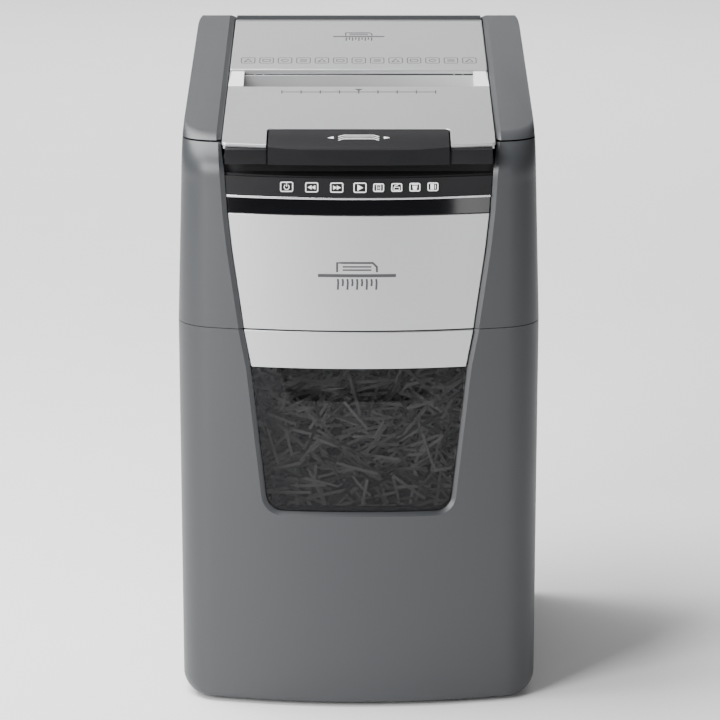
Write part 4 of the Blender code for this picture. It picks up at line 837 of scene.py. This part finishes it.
def build_strip():
    """The glossy band, the strip with the keys' holes, and the bright line between them."""
    band_levels = spread(BEZEL_BOTTOM_Z, TRIM_LOW.z, 3)
    band = sheet("gloss_band", band_levels, panel_half, BAND_INSET, 0.0043, lean=BAND_LEAN)
    dress(band, "gloss", "cabinet", 0.0006, replaced=("control_bezel",))
    strip = sheet("key_strip", spread(TRIM_HIGH.z, STRIP_TOP_Z, 6), panel_half, STRIP_INSET, 0.0035)
    for x, z, wide, high in key_places().values():
        outline = rounded(wide + KEY_GAP, high + KEY_GAP, 0.0016, 4, (x, z))
        cut(strip, prism("key_hole", outline, "Y", FRONT_Y - PAST, FRONT_Y + 0.05))
    dress(strip, "strip", "cabinet", 0.0004)
    trim = sheet("trim_line", spread(TRIM_LOW.z, TRIM_HIGH.z, 1), panel_half, TRIM_INSET, 0.0022)
    dress(trim, "chrome", "cabinet", 0.0006, replaced=("chrome_trim",))


def build_shelf():
    """The dark shelf over the key strip and the wall behind it, under the lid's edge."""
    top, wall, roof = STRIP_TOP_Z, SHELF_BACK_Y, HEAD_TOP_Z - 0.0035
    recess = [(FRONT_Y - 0.01, top - 0.0025), (FRONT_Y - 0.01, top - 0.0003), (wall - 0.002, top + 0.002)]
    recess += [(wall, roof), (wall + 0.003, roof), (wall + 0.001, top - 0.001)]
    shelf = prism("recess_shelf", recess, "X", -SHELF_HALF, SHELF_HALF)
    keep(shelf, form("limit", [0.48, 0.52, 0.545], 0.0056))
    dress(shelf, "inner", "cabinet", 0.0005)


def build_keys():
    for name, (x, z, wide, high) in key_places().items():
        face = front_y(x, KEY_INSET)
        made = prism("cap_" + name, rounded(wide, high, KEY_CORNER, 6, (x, z)), "Y", face, face + KEY_DEPTH)
        if not name.startswith("lens"):
            dress(made, "strip", name, 0.0004, replaced=(name,))
        else:
            replaced = ("indicator_lens_strip",) if name == "lens_0" else ()
            dress(made, "lens", "cabinet", 0.0004, replaced=replaced)


def slope_prism(name, outline, rise, thickness):
    """A plate with a given outline in plan, lying on the sloping top."""
    made = prism(name, outline, "Z", -thickness, 0.0)
    for vert in made.data.vertices:
        vert.co.z += lid_height(vert.co.y, rise)
    return made


def visor_front(x):
    return LID_PANEL_LOW.y + x * x / (2 * VISOR_RADIUS)


def build_lid_panels():
    """The visor with its notch and rolled front edge, the light ends of the slot, and the rear cover."""
    notch_x = TAB_HIGH.x + TAB_GAP
    notch_y = TAB_HIGH.y + TAB_GAP
    edge = LID_PANEL_HIGH.x
    corner = 0.003
    half = arc((notch_x - NOTCH_CORNER, notch_y - NOTCH_CORNER), NOTCH_CORNER, 90, 0, 6)
    half += [(x, visor_front(x)) for x in spread(notch_x, edge - corner, 8)]
    half += arc((edge - corner, visor_front(edge) + corner), corner, -80, 0, 5)
    half += [(tapered(edge, y), y) for y in (FRONT_Y + BROW_RADIUS, LID_PANEL_HIGH.y)]
    half += [(SLOT_HALF, LID_PANEL_HIGH.y), (SLOT_HALF, SLOT_FRONT_Y)]
    made = slope_prism("lid_visor", mirrored(half), 0.0, 0.003)
    dress(made, "silver", "lid", 0.0008, replaced=("lid_front_panel",))
    for name, side in (("left", -1), ("right", 1)):
        xs = spread(notch_x, edge - 0.0012, 8)
        outer = [(side * x, visor_front(x) + 0.001) for x in xs]
        inner = [(side * x, visor_front(x) + 0.0035) for x in reversed(xs)]
        lip = slope_prism("visor_lip_" + name, outer + inner, -0.0031, 0.0026)
        dress(lip, "silver", "lid", 0.0004)
        front, back = SLOT_FRONT_Y, LID_PANEL_HIGH.y
        ends = [(SLOT_HALF, front), (tapered(edge, front), front), (tapered(edge, back) - 0.002, back),
                (SLOT_HALF, back)]
        end = slope_prism("slot_end_" + name, [(side * x, y) for x, y in ends], 0.0005, 0.0004)
        dress(end, "slot_silver", "lid", 0.0002)
    half = [(tapered(REAR_PANEL_HIGH.x, y), y) for y in (REAR_PANEL_LOW.y, REAR_PANEL_HIGH.y)]
    made = slope_prism("lid_rear_cover", mirrored(half), COVER_RISE, 0.0055)
    dress(made, "silver", "lid", 0.0016, replaced=("lid_rear_panel",))


def build_tab():
    """The long release tab in the notch, with its hook."""
    front, back, half_x = TAB_LOW.y, TAB_HIGH.y, TAB_HIGH.x
    brow_z = lid_height(front)
    profile = [(front, TAB_FOOT_Z), (front + 0.0006, brow_z - 0.0035), (front + 0.0016, brow_z - 0.0015)]
    profile += [(front + 0.0042, lid_height(front + 0.0042)), (back, lid_height(back))]
    profile += [(back, lid_height(back) - 0.0045), (front + 0.02, lid_height(front + 0.02) - 0.005)]
    profile += [(front + 0.0085, TAB_FOOT_Z + 0.004), (front + 0.006, TAB_FOOT_Z)]
    made = prism("release_tab", profile, "X", -half_x - 0.01, half_x + 0.01)
    radius = NOTCH_CORNER - 0.0005
    plan = [(half_x * s, front + (half_x * s) ** 2 / (2 * VISOR_RADIUS)) for s in spread(0.0, 1.0, 6)][1:]
    plan += arc((half_x - radius, back - radius), radius, 0, 90, 6)
    keep(made, prism("tab_plan", mirrored([(0.0001, front)] + plan), "Z", MID_Z, 0.6))
    hook = [(-0.1605, 0.531), (-0.157, 0.531), (-0.1555, 0.5345), (-0.1575, 0.5345)]
    hook += [(-0.1575, 0.5455), (-0.1605, 0.5455)]
    join(made, prism("tab_hook", hook, "X", -HOOK_HALF, HOOK_HALF))
    dress(made, "black", "release_tab", 0.0006, replaced=("lid_release_tab",))


SPRING_WIRE = 0.0008
SPRING_TURNS = 5


def coil(centre, radius, low, high):
    """Rings round a wire that winds up from low to high."""
    steps = 20
    rings = []
    section = arc((0.0, 0.0), SPRING_WIRE, 0, 315, 7)
    for i, z in enumerate(spread(low, high, SPRING_TURNS * steps)):
        angle = 2 * pi * i / steps
        out = Vector((cos(angle), sin(angle), 0.0))
        middle = Vector((centre.x, centre.y, z)) + out * radius
        rings.append([middle + out * u + Vector((0.0, 0.0, v)) for u, v in section])
    return rings


def build_springs():
    """The springs over the pressure plate, each a fixed coil on the lid; on the machine they shorten towards
    the lid as the plate rises.
    """
    for name in ("left", "right"):
        low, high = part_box("pressure_spring_" + name)
        centre = (low + high) / 2
        radius = (high.y - low.y) / 2 - SPRING_WIRE
        made = loft("coil_" + name, coil(centre, radius, low.z + SPRING_WIRE, high.z - SPRING_WIRE))
        dress(made, "steel", "lid", 0.0, 60, ("pressure_spring_" + name,))
        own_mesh(made)


# --- printed marks ---

INK = 0.00012


def stroke(shape, points, width, place, joined=False):
    """A printed line of even width through 2D points, lifted into space by place(u, v, height)."""
    count = len(points)
    rings = []
    for i, (u, v) in enumerate(points):
        before = points[i - 1] if joined or i > 0 else points[i]
        after = points[(i + 1) % count] if joined or i < count - 1 else points[i]
        along = Vector((after[0] - before[0], after[1] - before[1])).normalized()
        first = Vector((u - before[0], v - before[1]))
        bend = max(along.dot(first.normalized()) if first.length else 1.0, 0.5)
        off = Vector((-along.y, along.x)) * width / 2 / bend
        left, right = (u + off.x, v + off.y), (u - off.x, v - off.y)
        rings.append([place(*left, 0.0), place(*left, INK), place(*right, INK), place(*right, 0.0)])
    add_loft(shape, rings, joined)


def fill(shape, points, place):
    add_loft(shape, [[place(u, v, height) for u, v in points] for height in (0.0, INK)])


def on_front(centre_x, centre_z, inset):
    """Places marks on the bowed front, u to the right and v up."""
    def place(u, v, height):
        x = centre_x + u
        return Vector((x, front_y(x, inset) - height, centre_z + v))
    return place


def on_key(centre_x, centre_z):
    def place(u, v, height):
        return Vector((centre_x + u, front_y(centre_x, KEY_INSET) - height, centre_z + v))
    return place


def on_slope(centre_x, centre_y, rise):
    """Places marks on the sloping top, u to the right and v to the back."""
    def place(u, v, height):
        y = centre_y + v
        return Vector((centre_x + u, y, lid_height(y, rise) + height))
    return place


def triangle(u, v, size, way):
    """An arrow head that points along +u or -u."""
    back = u - way * size * 0.5
    return [(back, v - size * 0.62), (u + way * size * 0.62, v), (back, v + size * 0.62)]


def mark_power(shape, place, s):
    stroke(shape, arc((0.0, -0.0002), 0.5 * s, 125, 415, 18), 0.17 * s, place)
    stroke(shape, [(0.0, 0.05 * s), (0.0, 0.72 * s)], 0.17 * s, place)


def mark_reverse(shape, place, s, way=-1):
    for u in (-0.38, 0.38):
        fill(shape, triangle(u * s, 0.0, 0.72 * s, way), place)


def mark_forward(shape, place, s):
    mark_reverse(shape, place, s, 1)


def mark_start(shape, place, s):
    fill(shape, triangle(0.0, 0.0, 1.05 * s, 1), place)


def mark_sheet(shape, place, s):
    stroke(shape, rounded(0.42 * s, 0.58 * s, 0.08 * s, 2), 0.13 * s, place, True)
    for v in (-0.2, 0.1):
        stroke(shape, [(-0.22 * s, v * s), (0.22 * s, v * s)], 0.11 * s, place)


def mark_lid(shape, place, s):
    stroke(shape, rounded(0.55 * s, 0.3 * s, 0.06 * s, 2, (0.0, -0.25 * s)), 0.14 * s, place, True)
    stroke(shape, [(-0.55 * s, 0.22 * s), (0.45 * s, 0.68 * s)], 0.15 * s, place)


def mark_bin(shape, place, s):
    body = [(-0.34 * s, -0.6 * s), (0.34 * s, -0.6 * s), (0.52 * s, 0.28 * s), (-0.52 * s, 0.28 * s)]
    fill(shape, body, place)
    stroke(shape, [(-0.62 * s, 0.52 * s), (0.62 * s, 0.52 * s)], 0.17 * s, place)


def mark_drawer(shape, place, s):
    body = [(-0.5 * s, -0.58 * s), (0.22 * s, -0.58 * s), (0.22 * s, 0.58 * s), (-0.5 * s, 0.58 * s)]
    fill(shape, body, place)
    stroke(shape, [(0.52 * s, -0.4 * s), (0.52 * s, 0.4 * s)], 0.15 * s, place)


KEY_MARKS = {
    "power_button": mark_power, "reverse_button": mark_reverse, "forward_button": mark_forward,
    "start_button": mark_start, "lens_0": mark_sheet, "lens_1": mark_lid, "lens_2": mark_bin,
    "lens_3": mark_drawer,
}
KEY_MARK_SIZE = 0.0046
FRAME_INSET = 0.0007


def build_key_marks():
    for name, (x, z, wide, high) in key_places().items():
        shape = bmesh.new()
        place = on_key(x, z)
        edge = rounded(wide - FRAME_INSET, high - FRAME_INSET, 0.0013, 5)
        stroke(shape, edge, 0.001, place, True)
        KEY_MARKS[name](shape, place, KEY_MARK_SIZE)
        made = from_bmesh("mark_" + name, shape)
        body = "cabinet" if name.startswith("lens") else name
        dress(made, "ink_white", body, 0.0)


def even_line(start, end, count):
    """Points along a straight line, close enough together to follow the bow."""
    return list(zip(spread(start[0], end[0], count), spread(start[1], end[1], count)))


def add_shredder_mark(shape, place, s):
    """A plain sign: a sheet that goes into a long slot and comes out as strips."""
    sheet_top = even_line((-1.45 * s, 0.95 * s), (1.15 * s, 0.95 * s), 6)
    edge = [(-1.45 * s, 0.26 * s)] + sheet_top + [(1.45 * s, 0.65 * s), (1.45 * s, 0.26 * s)]
    stroke(shape, edge, 0.15 * s, place)
    for v in (0.42, 0.66):
        stroke(shape, even_line((-1.05 * s, v * s), (1.05 * s, v * s), 4), 0.11 * s, place)
    stroke(shape, even_line((-2.85 * s, 0.0), (2.85 * s, 0.0), 14), 0.24 * s, place)
    for step, u in enumerate(spread(-1.4, 1.4, 8)):
        drop = (-0.78 if step % 2 else -1.05) * s
        points = [(u * s, -0.24 * s), (u * s + 0.03 * s, -0.5 * s), (u * s, drop)]
        stroke(shape, points, 0.15 * s, place)


def build_badges():
    front = bmesh.new()
    add_shredder_mark(front, on_front(-0.0016, 0.4214, 0.0011), 0.0128)
    dress(from_bmesh("front_sign", front), "ink_dark", "cabinet", 0.0)
    rear = bmesh.new()
    rear_place = on_slope(0.0, 0.128, COVER_RISE)
    add_shredder_mark(rear, lambda u, v, height: rear_place(u, v * 1.4, height), 0.009)
    dress(from_bmesh("rear_sign", rear), "ink_dark", "lid", 0.0)


def build_slot_scale():
    """A plain width scale in front of the slot, with ticks at even steps."""
    shape = bmesh.new()
    place, reach = on_slope(0.0, -0.0329, 0.0), 0.074
    stroke(shape, [(-reach, 0.0), (reach, 0.0)], 0.0014, place)
    for u in spread(-reach, reach, 8):
        stroke(shape, [(u, -0.0045), (u, 0.0045)], 0.0012, place)
    fill(shape, [(-0.004, 0.009), (0.0, 0.003), (0.004, 0.009)], place)
    dress(from_bmesh("slot_scale", shape), "ink_dark", "lid", 0.0)


def build_use_signs():
    """The row of boxed signs behind the slot."""
    shape = bmesh.new()
    for index, x in enumerate(spread(-0.1085, 0.1085, 12)):
        place = on_slope(x, 0.0537, COVER_RISE)
        stroke(shape, rounded(0.0066, 0.0082, 0.0016, 3), 0.0009, place, True)
        style = index % 4
        if style == 0:
            points = [(-0.0035, -0.0042), (0.0, 0.0045), (0.0035, -0.0042)]
            stroke(shape, points, 0.001, place, True)
        elif style == 1:
            stroke(shape, rounded(0.0036, 0.003, 0.0008, 2), 0.001, place, True)
        elif style == 2:
            stroke(shape, arc((0.0, 0.0), 0.0034, 0, 330, 12), 0.001, place)
        else:
            for v in (-0.003, 0.0, 0.003):
                stroke(shape, [(-0.0036, v), (0.0036, v)], 0.0009, place)
    dress(from_bmesh("use_signs", shape), "ink_dark", "lid", 0.0)


def build_tab_mark():
    """Stacked sheets and an arrow on the release tab: the stack feeds itself."""
    shape = bmesh.new()
    place = on_slope(0.0, -0.165, 0.0)
    for v in (-0.005, 0.0, 0.005):
        points = [(-0.019, v), (-0.014, v + 0.004), (0.014, v + 0.004), (0.019, v)]
        stroke(shape, points, 0.0011, place)
    for side in (-1, 1):
        fill(shape, triangle(side * 0.026, 0.002, 0.005, side), place)
    dress(from_bmesh("tab_sign", shape), "ink_white", "release_tab", 0.0)


# --- paper ---


STRIP_WIDTH = 0.0029
HALF_THICK = 0.00008
STRIP_LENGTHS = (0.02, 0.042)
FRONT_LAYERS = ((220, 0.002), (400, 0.007), (520, 0.012))
FRONT_FOOT_Z = 0.146
FRONT_TOP_Z = 0.31
LAYER_STEP = 0.009
TOP_COUNT = 560
TOP_MARGIN = 0.024
HEAP_Z = 0.232
HEAP_HUMP = 0.03
CORE_GRID = 26
CORE_Z = 0.216
CORE_HUMP = 0.032


def add_strip(shape, rng, centre, length, turn, tilt, curl, heading=0.0):
    """One loose strip: bent along its length, twisted a little, and thin."""
    steps = 5
    basis = Matrix.Rotation(heading, 3, "Z") @ Matrix.Rotation(turn, 3, "Y") @ Matrix.Rotation(tilt, 3, "X")
    twist = rng.uniform(-0.7, 0.7)
    rings = []
    for i in range(steps + 1):
        along = (i / steps - 0.5) * length
        roll = twist * (i / steps - 0.5)
        across = Vector((0.0, sin(roll), cos(roll))) * STRIP_WIDTH / 2
        up = Vector((0.0, -cos(roll), sin(roll))) * HALF_THICK
        middle = Vector((along, -curl * (1 - (2 * along / length) ** 2), 0.0))
        corners = (across + up, across - up, -across - up, -across + up)
        rings.append([centre + basis @ (middle + corner) for corner in corners])
    add_loft(shape, rings)


def add_front_strips(shape, rng):
    """Strips against the window, in layers that reach higher towards the back."""
    low, high = SHREDS_LOW, SHREDS_HIGH
    for layer, (count, gap) in enumerate(FRONT_LAYERS):
        top_z = FRONT_TOP_Z + LAYER_STEP * layer
        for _ in range(count):
            length = rng.uniform(*STRIP_LENGTHS)
            x = rng.uniform(low.x + length / 2 + 0.004, high.x - length / 2 - 0.004)
            y = low.y + gap + rng.uniform(0.0, 0.004)
            place = Vector((x, y, rng.uniform(FRONT_FOOT_Z, top_z)))
            turn = rng.gauss(0.0, 0.75)
            tilt = rng.uniform(-0.35, 0.35)
            add_strip(shape, rng, place, length, turn, tilt, rng.uniform(0.0, 0.002))


def add_top_strips(shape, rng):
    """Strips that lie every way on top of the heap."""
    low, high = SHREDS_LOW, SHREDS_HIGH
    for _ in range(TOP_COUNT):
        length = rng.uniform(*STRIP_LENGTHS)
        x = rng.uniform(low.x + TOP_MARGIN, high.x - TOP_MARGIN)
        y = rng.uniform(low.y + TOP_MARGIN, high.y - TOP_MARGIN)
        z = HEAP_Z + HEAP_HUMP * cos(x * 8) * cos(y * 8) + rng.uniform(-0.006, 0.012)
        turn = rng.uniform(-0.3, 0.3)
        tilt = rng.uniform(0.8, 2.2)
        curl = rng.uniform(-0.004, 0.004)
        add_strip(shape, rng, Vector((x, y, z)), length, turn, tilt, curl, rng.uniform(0.0, pi))


def build_core(rng):
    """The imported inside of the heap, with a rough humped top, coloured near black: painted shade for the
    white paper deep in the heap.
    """
    low, high = SHREDS_LOW, SHREDS_HIGH
    core = bmesh.new()
    bmesh.ops.create_grid(core, x_segments=CORE_GRID, y_segments=CORE_GRID, size=1.0)
    half_x, half_y = (high.x - low.x) / 2 - 0.002, (high.y - low.y) / 2 - 0.006
    middle_y = (high.y + low.y) / 2 + 0.004
    for vert in core.verts:
        hump = cos(vert.co.x * pi / 2) * cos(vert.co.y * pi / 2)
        height = CORE_Z + CORE_HUMP * hump + rng.uniform(-0.004, 0.004)
        vert.co = (vert.co.x * half_x, middle_y + vert.co.y * half_y, height)
    grown = bmesh.ops.extrude_face_region(core, geom=list(core.faces))
    for vert in [item for item in grown["geom"] if isinstance(item, bmesh.types.BMVert)]:
        vert.co.z = low.z + 0.001
    made = from_bmesh("packed_strips", core)
    dress(made, "shaded_core", "bin", 0.0, angle=60)


def build_shreds():
    """The heap: loose strips and a core."""
    rng = random.Random(7)
    shape = bmesh.new()
    add_front_strips(shape, rng)
    add_top_strips(shape, rng)
    made = from_bmesh("loose_strips", shape)
    dress(made, "paper", "bin", 0.0, replaced=("paper_shreds",))
    build_core(rng)


# --- camera, light and floor ---


CAMERA_PLACE = (0.0012, -4.0688, 1.2635)
CAMERA_DOWN = 13.4
LENS_MM = 212.4


def build_camera():
    data = bpy.data.cameras.new("camera")
    data.lens = LENS_MM
    data.sensor_width = 36.0
    data.clip_end = 50.0
    camera = new_object("camera", data)
    camera.location = CAMERA_PLACE
    camera.rotation_euler = (radians(90 - CAMERA_DOWN), 0.0, 0.0)
    bpy.context.scene.camera = camera


def area_light(name, place, aim, size, power):
    data = bpy.data.lights.new(name, "AREA")
    data.shape = "RECTANGLE"
    data.size, data.size_y = size
    data.energy = power
    light = new_object(name, data)
    light.location = place
    light.rotation_euler = (Vector(aim) - Vector(place)).to_track_quat("-Z", "Y").to_euler()


def build_stage():
    floor = block("floor", (-6.0, -6.0, -0.02), (6.0, 6.0, -0.0001))
    floor.data.materials.append(surface("pale_floor", (0.9, 0.9, 0.9), 0.6, 40, 0.0001, 0.01))
    world = bpy.data.worlds.new("studio")
    world.use_nodes = True
    sky = world.node_tree.nodes["Background"]
    sky.inputs["Color"].default_value = (1.0, 1.0, 1.0, 1.0)
    sky.inputs["Strength"].default_value = 0.2
    bpy.context.scene.world = world
    area_light("key_left", (-2.1, -2.5, 1.6), (0.0, 0.0, 0.35), (1.2, 2.0), 165)
    area_light("top", (-1.1, 0.1, 2.3), (0.0, 0.0, 0.3), (1.8, 1.8), 150)
    area_light("backdrop", (-0.5, 3.4, 2.6), (-0.5, 4.6, 0.0), (5.0, 2.0), 190)
    area_light("fill_right", (1.25, -2.6, 0.85), (0.0, 0.0, 0.45), (0.4, 1.1), 11)


build_camera()
build_stage()
build_arms()
build_head()
build_bin_front()
build_cabinet()
build_front_panel()
build_bin_panel()
build_window()
build_strip()
build_shelf()
build_keys()
build_lid_panels()
build_tab()
build_springs()
build_key_marks()
build_badges()
build_slot_scale()
build_use_signs()
build_tab_mark()
build_shreds()
dress_nodes()
